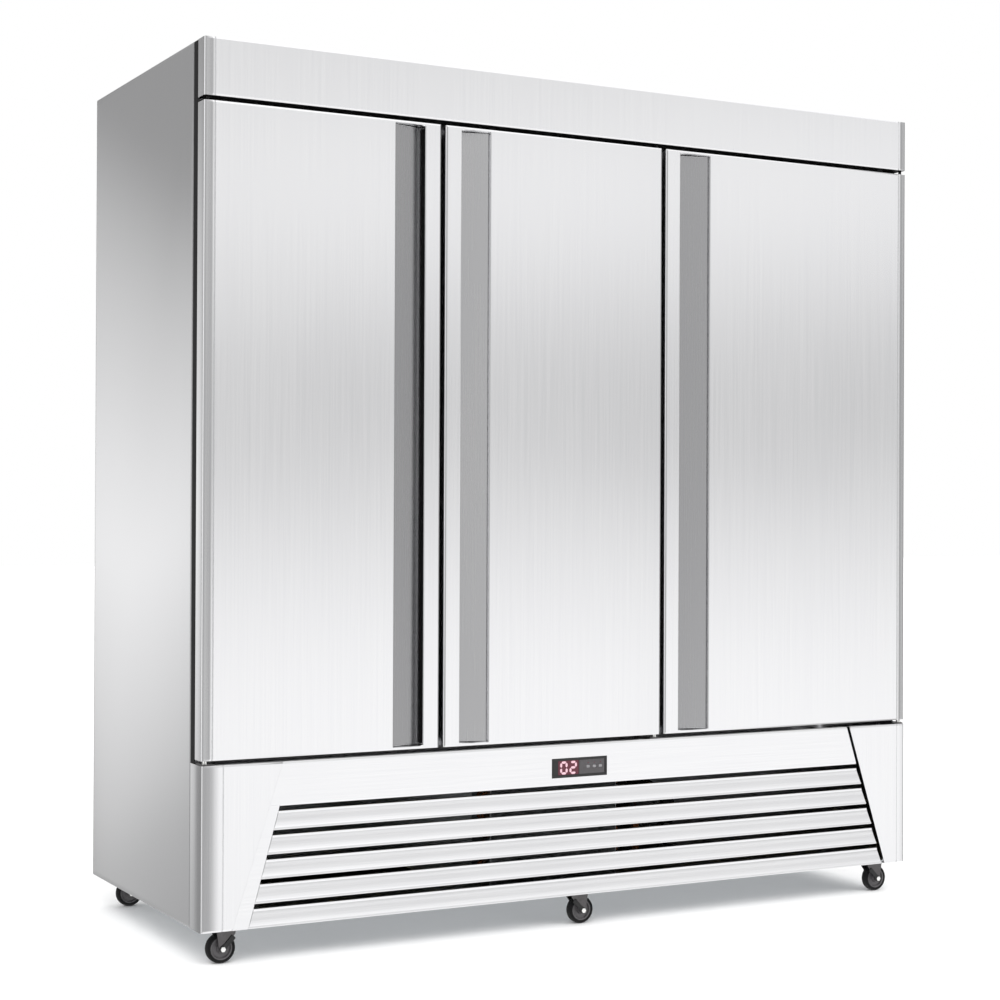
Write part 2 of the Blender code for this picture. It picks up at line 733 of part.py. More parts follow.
def build_condenser(floor):
    """A finned block with a fan shroud behind it, and its fan."""
    front = CONDENSER_Y
    coil_back = front + CONDENSER_DEPTH
    shroud_back = coil_back + SHROUD_DEPTH
    half = CONDENSER_WIDTH / 2
    coil = block(
        "condenser_coil",
        (-half, front, floor),
        (half, shroud_back, floor + CONDENSER_HEIGHT),
        COIL_FIN,
    )
    center_z = floor + CONDENSER_HEIGHT / 2
    ring = rod(
        "condenser_port",
        CONDENSER_FAN_RADIUS,
        (0, coil_back, center_z),
        (0, shroud_back + FIT, center_z),
        steps=ROUND_STEPS + 4,
    )
    cut(coil, ring)
    fan_y = (coil_back + shroud_back) / 2
    build_fan("condenser_fan", (0, fan_y, center_z), CONDENSER_FAN_RADIUS, BLACK_PAINT)


def build_compressor(floor):
    """A welded steel dome on a flat foot."""
    r = COMPRESSOR_RADIUS
    h = COMPRESSOR_HEIGHT
    rise = r * 0.6
    seam = r * 1.05
    dome = arc((0, 0), 1.0, 75, 0, 3)
    dome = [(r * across, h - rise + rise * up) for across, up in dome]
    profile = [(0, h)] + dome
    profile += [(r, h * 0.52), (seam, h * 0.50), (seam, h * 0.46), (r, h * 0.44)]
    profile += [(r, h * 0.14), (r * 0.8, 0), (0, 0)]
    turned("compressor", profile, BLACK_PAINT, (COMPRESSOR_X, COMPRESSOR_Y, floor))


def caster_places():
    """Name, X, Y, the direction of its trail along X, and whether it has a brake."""
    left = LEFT + CASTER_INSET_X
    right = RIGHT - CASTER_INSET_X
    front = FRONT + CASTER_INSET_Y
    back = BACK - CASTER_INSET_Y
    return [
        ("front_left", left, front, -1, True),
        ("front_middle", 0.0, front, 1, True),
        ("front_right", right, front, 1, True),
        ("rear_left", left, back, 1, True),
        ("rear_middle", 0.0, back, 1, False),
        ("rear_right", right, back, 1, False),
    ]


def build_base():
    """The floor plate of the machine compartment, with a mounting pad under it for each caster."""
    base = block(
        "base_plate",
        (LEFT + SHEET + FIT, FRONT + PANEL_THICKNESS + FIT, BODY_BOTTOM),
        (RIGHT - SHEET - FIT, BACK - SHEET - FIT, BODY_BOTTOM + BASE_THICKNESS),
        GALVANISED,
    )
    half = CASTER_PAD / 2
    pads = []
    for _, x, y, _, _ in caster_places():
        low = (x - half, y - half, BODY_BOTTOM - CASTER_PAD_THICKNESS)
        high = (x + half, y + half, BODY_BOTTOM + BASE_THICKNESS / 2)
        pads.append((low, high))
    join(base, blocks("caster_pads", pads))


def build_caster(name, x, y, trail, braked):
    """A stamped fork with its axle, a wheel, and on some a brake lever."""
    axle_x = x + trail * CASTER_TRAIL
    crown_top = BODY_BOTTOM - CASTER_PAD_THICKNESS - FIT
    crown_bottom = crown_top - FORK_SHEET
    swivel = (x, y, crown_top)
    crown = block(
        f"caster_{name}_fork",
        (x - FORK_HALF, y - LEG_OUTSIDE, crown_bottom),
        (x + FORK_HALF, y + LEG_OUTSIDE, crown_top),
        ZINC,
        swivel,
    )
    leg = [
        (x - FORK_HALF, crown_top - FIT),
        (axle_x - FORK_FOOT, AXLE_HEIGHT),
        (axle_x - FORK_FOOT * 0.5, AXLE_HEIGHT - FORK_FOOT * 0.85),
        (axle_x + FORK_FOOT * 0.5, AXLE_HEIGHT - FORK_FOOT * 0.85),
        (axle_x + FORK_FOOT, AXLE_HEIGHT),
        (x + FORK_HALF, crown_top - FIT),
    ]
    for end, low in (("front", y - LEG_OUTSIDE), ("rear", y + LEG_INSIDE)):
        tool = prism(f"caster_{name}_{end}_leg", leg, low, low + FORK_SHEET, upright=True)
        join(crown, tool)
    lever_room = 2 * FIT + LEVER_THICKNESS
    front_end = y - LEG_OUTSIDE - lever_room
    back_end = y + LEG_OUTSIDE + NUT_THICKNESS
    axle = rod(
        f"caster_{name}_axle",
        AXLE_RADIUS,
        (axle_x, front_end - NUT_THICKNESS / 2, AXLE_HEIGHT),
        (axle_x, back_end - NUT_THICKNESS / 2, AXLE_HEIGHT),
        steps=12,
    )
    front_nut = rod(
        f"caster_{name}_nut",
        NUT_RADIUS,
        (axle_x, front_end - NUT_THICKNESS, AXLE_HEIGHT),
        (axle_x, front_end, AXLE_HEIGHT),
        steps=6,
    )
    join(crown, axle, front_nut)
    half = WHEEL_WIDTH / 2
    bore = AXLE_RADIUS + BORE_CLEARANCE
    rim = WHEEL_RADIUS - WHEEL_EDGE
    profile = [
        (bore, half),
        (rim, half),
        (WHEEL_RADIUS, half - WHEEL_EDGE),
        (WHEEL_RADIUS, WHEEL_EDGE - half),
        (rim, -half),
        (bore, -half),
    ]
    turned(
        f"caster_{name}_wheel", profile, TYRE, (axle_x, y, AXLE_HEIGHT), along_y=True, closed=True
    )
    if braked:
        build_brake(name, axle_x, y, trail)


def build_brake(name, axle_x, y, trail):
    """A flat lever on the axle, outside the fork, with a foot tab over the wheel's upper edge."""
    side = -trail
    length = math.hypot(LEVER_REACH, LEVER_RISE)
    along = (side * LEVER_REACH / length, LEVER_RISE / length)
    across = (-along[1], along[0])
    back = y - LEG_OUTSIDE - FIT
    front = back - LEVER_THICKNESS

    def at(forward, sideways):
        return (
            axle_x + along[0] * forward + across[0] * sideways,
            AXLE_HEIGHT + along[1] * forward + across[1] * sideways,
        )

    turn = math.degrees(math.atan2(along[1], along[0]))
    heel = arc((axle_x, AXLE_HEIGHT), LEVER_HALF * 1.2, turn + 90, turn + 270, 5)
    outline = heel + [at(length, -LEVER_HALF), at(length, LEVER_HALF)]
    origin = (axle_x, y, AXLE_HEIGHT)
    lever = prism(
        f"caster_{name}_brake", outline, front, back, BLACK_PAINT, upright=True, origin=origin
    )
    hole = rod(
        f"caster_{name}_brake_hole",
        AXLE_RADIUS + BORE_CLEARANCE,
        (axle_x, front - FIT, AXLE_HEIGHT),
        (axle_x, back + FIT, AXLE_HEIGHT),
        steps=12,
    )
    cut(lever, hole)


def main():
    build_shell()
    build_header()
    build_lower_front()
    build_controller()
    for index in range(len(DOORS)):
        build_door(index)
    build_hinges()
    build_shelves()
    build_cooling()
    build_base()
    for name, x, y, trail, braked in caster_places():
        build_caster(name, x, y, trail, braked)


main()
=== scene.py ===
"""Looks of a three-door reach-in refrigerator in brushed stainless steel, on casters.

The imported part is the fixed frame. Sizes are metres, and every new piece is placed from the part's own boxes.
"""

import math

import bmesh
import bpy
import numpy as np
from mathutils import Matrix, Vector


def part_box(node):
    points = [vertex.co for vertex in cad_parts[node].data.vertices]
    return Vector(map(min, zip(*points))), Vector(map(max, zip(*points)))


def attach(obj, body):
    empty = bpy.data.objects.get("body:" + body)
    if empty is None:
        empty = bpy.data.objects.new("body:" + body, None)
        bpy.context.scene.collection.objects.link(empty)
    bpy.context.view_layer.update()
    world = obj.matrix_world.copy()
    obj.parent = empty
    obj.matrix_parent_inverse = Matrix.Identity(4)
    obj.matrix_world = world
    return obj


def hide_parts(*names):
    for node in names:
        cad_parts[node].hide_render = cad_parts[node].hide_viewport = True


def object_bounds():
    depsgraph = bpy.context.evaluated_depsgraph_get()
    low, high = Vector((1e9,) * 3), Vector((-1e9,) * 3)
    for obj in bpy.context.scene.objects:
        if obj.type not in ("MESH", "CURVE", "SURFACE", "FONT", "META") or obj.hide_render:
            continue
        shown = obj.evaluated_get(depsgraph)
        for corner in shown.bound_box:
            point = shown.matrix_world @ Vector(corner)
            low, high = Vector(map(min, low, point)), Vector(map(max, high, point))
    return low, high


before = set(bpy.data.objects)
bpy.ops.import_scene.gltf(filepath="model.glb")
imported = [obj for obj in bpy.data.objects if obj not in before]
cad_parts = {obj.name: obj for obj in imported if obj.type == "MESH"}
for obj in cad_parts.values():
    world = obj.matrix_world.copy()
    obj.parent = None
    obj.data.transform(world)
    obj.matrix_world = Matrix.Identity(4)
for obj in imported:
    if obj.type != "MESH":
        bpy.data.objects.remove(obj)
CAD_BOX = [list(corner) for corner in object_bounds()]
MM = 0.001
ORIGIN = (0, 0, 0)


# ---------------------------------------------------------------- shapes

def box_of(node):
    """Low and high corners of a part's node as arrays."""
    low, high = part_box(node)
    return np.array(low), np.array(high)


def stack(rings, closed=False):
    """A skin over rows of points: each row is a ring and joins the next, and flat caps close the ends.

    When closed, the last row joins the first instead, as in a ring.
    """
    rings = np.asarray(rings, float)
    rows, columns = rings.shape[:2]
    row = np.arange(rows if closed else rows - 1)[:, None]
    column = np.arange(columns)[None, :]
    next_row, next_column = (row + 1) % rows, (column + 1) % columns
    corners = (
        row * columns + column,
        row * columns + next_column,
        next_row * columns + next_column,
        next_row * columns + column,
    )
    faces = np.stack(np.broadcast_arrays(*corners), -1).reshape(-1, 4).tolist()
    if not closed:
        faces.append(list(range(columns))[::-1])
        faces.append(list(range((rows - 1) * columns, rows * columns)))
    return rings.reshape(-1, 3), faces


# Where a flat outline's two coordinates and its level go, for each axis that it is carried along.
ORDER = {"z": [0, 1, 2], "y": [0, 2, 1], "x": [2, 0, 1]}


def carried(outline, levels, axis="z"):
    """A flat outline carried straight along an axis, one ring at each level."""
    outline, levels = np.asarray(outline, float), np.asarray(levels, float)
    rings = np.zeros((len(levels), len(outline), 3))
    rings[:, :, :2] = outline[None]
    rings[:, :, 2] = levels[:, None]
    return stack(rings[:, :, ORDER[axis]])


def block(low, high):
    """A box as a square outline carried upwards."""
    (x0, y0, z0), (x1, y1, z1) = low, high
    return carried([(x0, y0), (x1, y0), (x1, y1), (x0, y1)], [z0, z1])


def mm(*points, at=(0, 0)):
    """Points in metres, from points given in millimetres from a place that is given in metres."""
    return [(at[0] + a * MM, at[1] + b * MM) for a, b in points]


def bend(centre, radius, start, end, steps):
    """Points on a circle from one angle to the other, in degrees."""
    turn = np.radians(np.linspace(start, end, steps + 1))
    across, up = centre[0] + radius * np.cos(turn), centre[1] + radius * np.sin(turn)
    return list(zip(across.tolist(), up.tolist()))


def round_rectangle(low, high, radius, steps=4):
    """Points round a rectangle with its corners turned on a radius, as four quarter circles end to end."""
    (a0, b0), (a1, b1) = low, high
    radius = max(min(radius, (a1 - a0) / 2 * 0.999, (b1 - b0) / 2 * 0.999), 1e-5)
    corners = [(a0, b0, 180), (a1, b0, 270), (a1, b1, 0), (a0, b1, 90)]
    parts = []
    for a, b, start in corners:
        centre = (a + radius if a == a0 else a - radius, b + radius if b == b0 else b - radius)
        parts.append(bend(centre, radius, start, start + 90, steps))
    return np.concatenate(parts)


def around(low, high, profile, corner, axis="y", closed=False, steps=4):
    """A profile carried round a rounded rectangle. Its points are (distance in from the edge, level)."""
    rings = []
    for inset, level in profile:
        edge = round_rectangle(
            (low[0] + inset, low[1] + inset),
            (high[0] - inset, high[1] - inset),
            max(corner - inset, corner * 0.25),
            steps,
        )
        flat = np.column_stack([edge, np.full(len(edge), level)])
        rings.append(flat[:, ORDER[axis]])
    return stack(rings, closed)


def turned(profile, centre, axis="z", steps=32, closed=False):
    """A profile of (radius, height) turned about an axis through centre."""
    profile = np.asarray(profile, float)
    turn = np.linspace(0, 2 * math.pi, steps, endpoint=False)
    radius = np.maximum(profile[:, :1], 0.00015)
    rings = np.stack([radius * np.cos(turn), radius * np.sin(turn), np.repeat(profile[:, 1:], steps, 1)], 2)
    return stack(rings[:, :, ORDER[axis]] + np.asarray(centre, float), closed)


def tube(path, radius, sides=8, closed=False, up=(0, 0, 1)):
    """A round section carried along a path, with each ring square to it."""
    path = np.asarray(path, float)
    if closed:
        run = np.roll(path, -1, 0) - np.roll(path, 1, 0)
    else:
        run = np.gradient(path, axis=0)
    run /= np.linalg.norm(run, axis=1, keepdims=True)
    side = np.cross(run, np.asarray(up, float))
    side /= np.linalg.norm(side, axis=1, keepdims=True)
    rise = np.cross(side, run)
    turn = np.linspace(0, 2 * math.pi, sides, endpoint=False)[None, :, None]
    radius = np.broadcast_to(np.asarray(radius, float), (len(path),))[:, None, None]
    rings = path[:, None] + radius * (np.cos(turn) * side[:, None] + np.sin(turn) * rise[:, None])
    return stack(rings, closed)


def smooth_path(points, steps=8):
    """A path through the points with rounded bends, as a Catmull-Rom curve."""
    points = np.asarray(points, float)
    padded = np.concatenate([2 * points[:1] - points[1:2], points, 2 * points[-1:] - points[-2:-1]])
    t = np.linspace(0, 1, steps, endpoint=False)[None, :, None]
    a, b, c, d = (padded[i : i + len(points) - 1, None] for i in range(4))
    curve = 0.5 * (2 * b + (c - a) * t + (2 * a - 5 * b + 4 * c - d) * t**2 + (3 * b - a - 3 * c + d) * t**3)
    return np.concatenate([curve.reshape(-1, 3), points[-1:]])


def half_turn(x, out, y, low, high):
    """A path for a return bend: out from x (out is 1 or -1), from the low level to the high one."""
    turn = np.radians(np.linspace(0, 180, 9))
    middle, arm = (low + high) / 2, (high - low) / 2
    return np.stack([x + out * arm * np.sin(turn), np.full(9, y), middle - arm * np.cos(turn)], 1)


def copies(shape, places):
    """The same shape moved to each place."""
    points, faces = shape
    return [(points + np.asarray(place, float), faces) for place in places]


def make_piece(name, body, finish, shapes, replaced=(), bevel=0.0, segments=3, sharp=32):
    """Joins closed shapes into one piece that rides on a body.

    finish is one material, or several with each shape given as (points, faces, which finish).
    """
    finishes = finish if isinstance(finish, (list, tuple)) else [finish]
    points, faces, which, count = [], [], [], 0
    for shape in shapes:
        points.append(shape[0])
        faces += [[corner + count for corner in face] for face in shape[1]]
        which += [shape[2] if len(shape) > 2 else 0] * len(shape[1])
        count += len(shape[0])
    mesh = bpy.data.meshes.new(name)
    mesh.from_pydata(np.concatenate(points).tolist(), [], faces)
    mesh.polygons.foreach_set("material_index", which)
    for material in finishes:
        mesh.materials.append(material)
    work = bmesh.new()
    work.from_mesh(mesh)
    bmesh.ops.recalc_face_normals(work, faces=work.faces)
    work.to_mesh(mesh)
    work.free()
    piece = bpy.data.objects.new(name, mesh)
    bpy.context.scene.collection.objects.link(piece)
    mesh.shade_smooth()
    if bevel:
        edge = piece.modifiers.new("edges", "BEVEL")
        edge.width, edge.segments = bevel, segments
        edge.limit_method, edge.angle_limit = "ANGLE", math.radians(38)
        edge.harden_normals = True
    else:
        mesh.set_sharp_from_angle(angle=math.radians(sharp))
    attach(piece, body)
    if replaced:
        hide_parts(*replaced)
    return piece


# ---------------------------------------------------------------- finishes

def tone(code):
    """An sRGB hex code as linear colour."""
    parts = [int(code[i : i + 2], 16) / 255 for i in (0, 2, 4)]
    return (*[p / 12.92 if p <= 0.04045 else ((p + 0.055) / 1.055) ** 2.4 for p in parts], 1.0)


def add(tree, kind, inputs=None, **settings):
    """Adds a node. inputs maps a socket to a value, or to a (node, output) pair that is linked to it."""
    made = tree.nodes.new(kind)
    for key, value in settings.items():
        setattr(made, key, value)
    for key, value in (inputs or {}).items():
        if isinstance(value, tuple) and isinstance(value[0], bpy.types.Node):
            tree.links.new(value[0].outputs[value[1]], made.inputs[key])
        else:
            made.inputs[key].default_value = value
    return made


def finish(name, light, dark, metallic, rough, grain, relief, drift, sockets=None, run=(1, 1, 1)):
    """A finish whose tone and roughness follow a fine grain over a slow drift, with the grain as its relief.

    rough is (least, most). In millimetres, grain is the grain's size, relief its height, and drift the size
    of the slow patches. run stretches the grain along X, Y and Z.
    """
    material = bpy.data.materials.new(name)
    material.use_nodes = True
    tree = material.node_tree
    shader = tree.nodes["Principled BSDF"]
    where = add(tree, "ShaderNodeTexCoord")
    size = tuple(1 / (grain * MM * r) for r in run)
    lay = add(tree, "ShaderNodeMapping", {"Vector": (where, "Object"), "Scale": size})
    fine = add(tree, "ShaderNodeTexNoise", {"Vector": (lay, 0), "Scale": 1.0, "Detail": 3.0,
                                            "Roughness": 0.6})
    slow = add(tree, "ShaderNodeTexNoise", {"Vector": (where, "Object"), "Scale": 1 / (drift * MM),
                                            "Detail": 2.0})
    both = add(tree, "ShaderNodeMix", {"Factor": 0.35, "A": (fine, 0), "B": (slow, 0)}, data_type="FLOAT")
    limits = {"Value": (both, 0), "From Min": 0.3, "From Max": 0.7}
    spread = add(tree, "ShaderNodeMapRange", limits, clamp=True)
    colour = add(tree, "ShaderNodeMix", {"Factor": (spread, 0), 6: tone(dark), 7: tone(light)},
                 data_type="RGBA")
    limits.update({"To Min": rough[0], "To Max": rough[1]})
    gloss = add(tree, "ShaderNodeMapRange", limits, clamp=True)
    tree.links.new(colour.outputs[2], shader.inputs["Base Color"])
    tree.links.new(gloss.outputs[0], shader.inputs["Roughness"])
    shader.inputs["Metallic"].default_value = metallic
    if relief:
        bump = add(tree, "ShaderNodeBump", {"Height": (fine, 0), "Strength": 1.0, "Distance": relief * MM})
        tree.links.new(bump.outputs[0], shader.inputs["Normal"])
    for key, value in (sockets or {}).items():
        shader.inputs[key].default_value = value
    return material


# Stainless sheet, 304, brushed along its height with a fine belt: a silvery satin that blurs sideways.
# The hairlines are drawn 2 mm wide, because real ones of 0.1 mm would not show.
BRUSHED = finish(
    "brushed stainless sheet", "E6E6E7", "DEDEE0", 1.0, (0.17, 0.21), 2, 0.01, 600,
    {"Anisotropic": 0.35}, (1, 1, 160),
)
# The same sheet in the pulls' recesses: duller, and darkened as painted shade of the recess, deeper on the
# first and third doors and lighter on the second.
PULL_DEEP_PAINTED_SHADE, PULL_SOFT_PAINTED_SHADE = [
    finish("brushed stainless pull plate, " + name, light, dark, 1.0, (0.26, 0.28), 2, 0, 600, None,
           (1, 1, 160))
    for name, light, dark in (("darker", "B0B0B1", "ADADAF"), ("lighter", "DADADB", "D7D7D9"))
]
# Which painted shade of the recess each door's pull plate takes.
PULL = {"door_1": PULL_DEEP_PAINTED_SHADE, "door_2": PULL_SOFT_PAINTED_SHADE, "door_3": PULL_DEEP_PAINTED_SHADE}
# The same sheet lying flat, with the hairlines along X.
BRUSHED_FLAT = finish(
    "brushed stainless sheet, flat", "E6E6E7", "DCDCDE", 1.0, (0.19, 0.24), 2, 0.01, 600, None,
    (160, 1, 1)
)
# The same sheet in the louvred panel, with the grain along its slats.
SLAT = finish(
    "brushed stainless slat", "E8E8E9", "DEDEE0", 1.0, (0.17, 0.22), 2, 0.01, 400, None, (120, 1, 1)
)
# Hot-dip galvanised sheet: dull grey zinc with patches of crystal a centimetre or two across.
ZINC_SHEET = finish("galvanised sheet", "C9CCCF", "B9BDC0", 1.0, (0.34, 0.46), 12, 0.02, 50)
# Zinc-plated pressed steel: brighter and smoother, with a cold bluish cast.
ZINC = finish("zinc plated steel", "C9CBCE", "A9ABAF", 1.0, (0.28, 0.40), 3, 0.02, 30)
# Zinc plate under a black passivate: a dark, slightly warm grey with the same smooth pressing under it.
DARK_ZINC = finish("black passivated steel", "6A6869", "525051", 1.0, (0.30, 0.42), 3, 0.02, 30)
BRIGHT_NUT = finish("nickel plated nut", "F2F2F0", "DCDCDA", 1.0, (0.12, 0.2), 2, 0, 20)
# Coated aluminium liner: satin white with a faint orange-peel.
LINER_WHITE = finish(
    "white coated aluminium", "EEEFEF", "E6E7E7", 0.0, (0.30, 0.38), 3, 0.04, 300,
    {"IOR": 1.5, "Coat Weight": 0.15},
)
# Plasticised PVC: mid grey, soft, slightly greasy sheen.
VINYL = finish("grey vinyl gasket", "4A4B4D", "3C3D3F", 0.0, (0.42, 0.55), 1.5, 0.03, 50, {"IOR": 1.53})
# Black vinyl strips between the liner and the front frame, and in other seams, slots and hollows, where their
# black is painted shade that falls there.
BLACK_PAINTED_SHADE = finish(
    "black vinyl, painted shade in seams", "0C0C0D", "060607", 0.0, (0.6, 0.72), 2, 0.03, 80,
    {"IOR": 1.53, "Specular IOR Level": 0.2},
)
# ABS with a fine spark-eroded texture.
ABS_BLACK = finish(
    "black ABS, fine texture", "1C1C1D", "121213", 0.0, (0.34, 0.46), 0.8, 0.04, 20,
    {"IOR": 1.53},
)
KEY_GREY = finish(
    "grey keypad film", "4E4B4D", "413F41", 0.0, (0.36, 0.44), 1, 0.02, 20, {"IOR": 1.5},
    (6, 1, 1)
)
SILICONE = finish("grey silicone key", "8C8B8D", "7C7B7D", 0.0, (0.5, 0.6), 0.8, 0.02, 10, {"IOR": 1.42})
# Dark red acrylic over the digits.
WINDOW = finish(
    "dark red acrylic window", "3A1620", "2B0F18", 0.0, (0.10, 0.16), 3, 0, 20,
    {"IOR": 1.49, "Emission Color": tone("7A2038"), "Emission Strength": 0.35},
)
LIT = finish(
    "lit digit segment", "C4A0AA", "B8929E", 0.0, (0.4, 0.5), 1, 0, 10,
    {"Emission Color": tone("F4CFD8"), "Emission Strength": 0.3},
)
UNLIT = finish("unlit indicator", "5A2530", "481C26", 0.0, (0.3, 0.4), 1, 0, 10)
# Stoved black enamel with slight orange-peel.
ENAMEL = finish(
    "black stoved enamel", "1A1A1B", "101011", 0.0, (0.22, 0.34), 4, 0.05, 50,
    {"IOR": 1.5, "Coat Weight": 0.4},
)
FOAM = finish("rigid polyurethane foam", "D9C48C", "C4AC70", 0.0, (0.85, 0.95), 2, 0.3, 60)
FINS = finish("aluminium fins", "C4C7CA", "A6A9AD", 1.0, (0.30, 0.42), 1.5, 0.03, 50, None, (1, 1, 30))
COPPER = finish("drawn copper tube", "A06A48", "7C4A2E", 1.0, (0.32, 0.46), 3, 0.02, 40, None, (1, 1, 8))
# Epoxy powder over steel wire: light grey, smooth with a soft gloss.
WIRE = finish(
    "grey epoxy coated wire", "D2D4D6", "C2C4C7", 0.0, (0.26, 0.36), 2, 0.03, 80,
    {"IOR": 1.5, "Coat Weight": 0.3},
)
DIFFUSER = finish(
    "frosted lamp cover", "FAFAF7", "F0F0EC", 0.0, (0.4, 0.5), 2, 0, 50,
    {"IOR": 1.58, "Emission Color": tone("FFFDF6"), "Emission Strength": 0.8},
)
# Thermoplastic rubber tread: near black with a dull sheen and faint scuffs.
TREAD = finish(
    "black rubber tread", "101011", "060607", 0.0, (0.62, 0.78), 2.5, 0.08, 20,
    {"IOR": 1.5, "Specular IOR Level": 0.25},
)
HUB = finish("grey nylon hub", "5A585A", "484648", 0.0, (0.38, 0.5), 2, 0.04, 20, {"IOR": 1.53})
PEDAL = finish("black nylon pedal", "141415", "0A0A0B", 0.0, (0.4, 0.52), 1.5, 0.05, 20, {"IOR": 1.53})


# ---------------------------------------------------------------- doors

HINGED_LEFT = {"door_1": True, "door_2": False, "door_3": False}
CHANNEL = {"door_1": 80 * MM, "door_2": 80 * MM, "door_3": 93 * MM}
LIP = 44 * MM
HEM, HEM_DEPTH = 4.5 * MM, 1.5 * MM  # a folded edge falls back this far over this width
CREASE = 0.4 * MM  # the width over which a fold turns
BEAD = 25.5 * MM  # from the cabinet's side to the groove that sets off the corner strip


def hemmed(low, high):
    """Levels of a sheet hemmed at its foot and head, each with how far the front stands back there."""
    rise = [(0, HEM_DEPTH), (HEM, 0.0), (HEM + CREASE, 0.0)]
    return [(low + r, drop) for r, drop in rise] + [(high - r, drop) for r, drop in reversed(rise)]


def groove(centre):
    """Plan points of a small groove in a front face, as (across, depth)."""
    return mm((-1.8, 0), (-0.54, 1.6), (0.54, 1.6), (1.8, 0), at=(centre, 0))


# From the cabinet's side to the groove: a rounded corner, then a strip that falls away a little.
CORNER_STRIP = mm((0, 7), (0.5, 5.0), (2.0, 3.4), (4.2, 2.8), (7, 2.6), (18, 0.5), (21, 0))


def door_plan(width, back, channel, with_groove):
    """A door's plan as (across, depth) from its free edge, round the lip, recess and face, to the hinge edge.

    Returns the full section and the same points pulled up to the face, for the closed ends of the recess.
    """
    corner = 6 * MM
    far = LIP + channel
    lip = [(0.0, back)]
    lip += bend((corner, corner), corner, 180, 270, 5)
    lip += [(LIP * 0.5, 0.25 * MM), (LIP - 4 * MM, 0.3 * MM)]
    recess = bend((LIP - 1.8 * MM, 2.0 * MM), 1.8 * MM, -75, 90, 5)
    recess += [(LIP - 11 * MM, 4.4 * MM), (LIP - 11 * MM, 28 * MM), (LIP - 9 * MM, 29.8 * MM),
               (LIP + 3 * MM, 28.6 * MM), (far - 3.4 * MM, 9.0 * MM), (far - 2.6 * MM, 7.6 * MM),
               (far - 1.2 * MM, 0.9 * MM)]
    face = [(far + 0.6 * MM, 0.0), (far + 1.2 * MM, 0.0)]
    if with_groove:
        face += groove(width - BEAD)
        face += [(width - a, d) for a, d in reversed(CORNER_STRIP)]
    else:
        face += bend((width - corner, corner), corner, 270, 360, 5)
    face += [(width, back)]
    count = len(recess)
    flat_across = np.linspace(LIP - 2.5 * MM, far, count)
    flat = [(a, 0.3 * MM * (1 - i / (count - 1))) for i, a in enumerate(flat_across)]
    return np.array(lip + recess + face), np.array(lip + flat + face)


def build_door(name):
    """A skin folded from one sheet: its plan carried up the door, with the recess closed near both ends."""
    low, high = box_of(name + "_skin")
    free, inward = (high[0], -1) if HINGED_LEFT[name] else (low[0], 1)
    width, back = high[0] - low[0], high[1] - low[1]
    full, flat = door_plan(width, back, CHANNEL[name], name != "door_2")
    end, slope = 6 * MM, 2.5 * MM
    rise = [0, HEM, HEM + CREASE, end, end + slope]
    levels = [low[2] + r for r in rise] + [high[2] - r for r in reversed(rise)]
    rings = []
    for level, plan in zip(levels, [flat] * 4 + [full] * 2 + [flat] * 4):
        x = free + inward * plan[:, 0]
        depth = np.maximum(plan[:, 1], HEM_DEPTH if level in (low[2], high[2]) else 0.0)
        rings.append(np.column_stack([x, low[1] + depth, np.full(len(x), level)]))
    make_piece(
        name + "_shell", name, BRUSHED, [stack(rings)], [name + "_skin"], bevel=1.2 * MM, segments=3
    )
    # The recess is faced with a plate in a finish darkened as painted shade, and a black strip closes the
    # hollow behind the lip, its black painting the shade under the lip.
    far = LIP + CHANNEL[name]
    near, right = LIP - 7.8 * MM, far - 3.6 * MM
    plate = [(near, 27.2 * MM), (right, 7.6 * MM), (right, 8.4 * MM), (near, 28 * MM)]
    near, right = LIP - 10.8 * MM, LIP - 8 * MM
    strip = [(near, 16 * MM), (right, 16 * MM), (right, 28 * MM), (near, 28 * MM)]
    span = [low[2] + end + slope + 1.2 * MM, high[2] - end - slope - 1.2 * MM]
    for part, plan, slot, material in (
        ("_pull_plate", plate, "steel", PULL[name]),
        ("_pull_shade_strip", strip, "dark_plastic", BLACK_PAINTED_SHADE),
    ):
        section = [(free + inward * a, low[1] + d) for a, d in plan]
        make_piece(name + part, name, material, [carried(section, span)])
    build_door_back(name)


def build_door_back(name):
    """The inner panel, pressed with a raised border, and the gasket in its slot."""
    low, high = box_of(name + "_liner")
    front, back = low[1], high[1]
    rim = [(0, front), (0, back - 3 * MM), (2.2 * MM, back - 0.6 * MM), (5 * MM, back), (44 * MM, back),
           (50 * MM, back - 2.2 * MM), (58 * MM, back - 6.5 * MM),
           (66 * MM, back - 7.5 * MM), (90 * MM, back - 7.5 * MM), (96 * MM, back - 6.5 * MM),
            (102 * MM, back - 5.5 * MM)]
    panel = around(low[[0, 2]], high[[0, 2]], rim, 12 * MM)
    make_piece(name + "_inner_panel", name, LINER_WHITE, [panel], [name + "_liner"])
    low, high = box_of(name + "_gasket")
    # Half the seal's section, as (across in millimetres, share of its depth): a flat foot in the slot, two
    # bellows folds and the rounded magnet pocket. The other half mirrors it.
    half = [(20, 0), (20, 0.16), (16, 0.26), (20.5, 0.38), (17, 0.5), (22, 0.66), (22, 0.9), (19.5, 1)]
    seal = [(2, 0)] + half + [(22 - a, share) for a, share in reversed(half[1:])]
    seal = [(a * MM, low[1] + share * (high[1] - low[1])) for a, share in seal]
    ring = around(low[[0, 2]], high[[0, 2]], seal, 3 * MM, closed=True, steps=2)
    make_piece(name + "_seal", name, VINYL, [ring], [name + "_gasket"])


# ---------------------------------------------------------------- header and lower front

LOWER_LOW, LOWER_HIGH = box_of("lower_panel_left")
BOTTOM, TOP_OF_LOWER = LOWER_LOW[2], LOWER_HIGH[2]


def front_plan(left, right, front, step_at, back, step):
    """Plan of a folded front cover: stepped sides, round corners, and a groove beside each corner."""
    half = [(left + step, back), (left + step, step_at), (left, step_at)]
    half += [(left + a, front + d) for a, d in CORNER_STRIP]
    half += [(left + a, front + d) for a, d in groove(BEAD)]
    mirrored = [(left + right - x, y) for x, y in reversed(half)]
    return half + mirrored


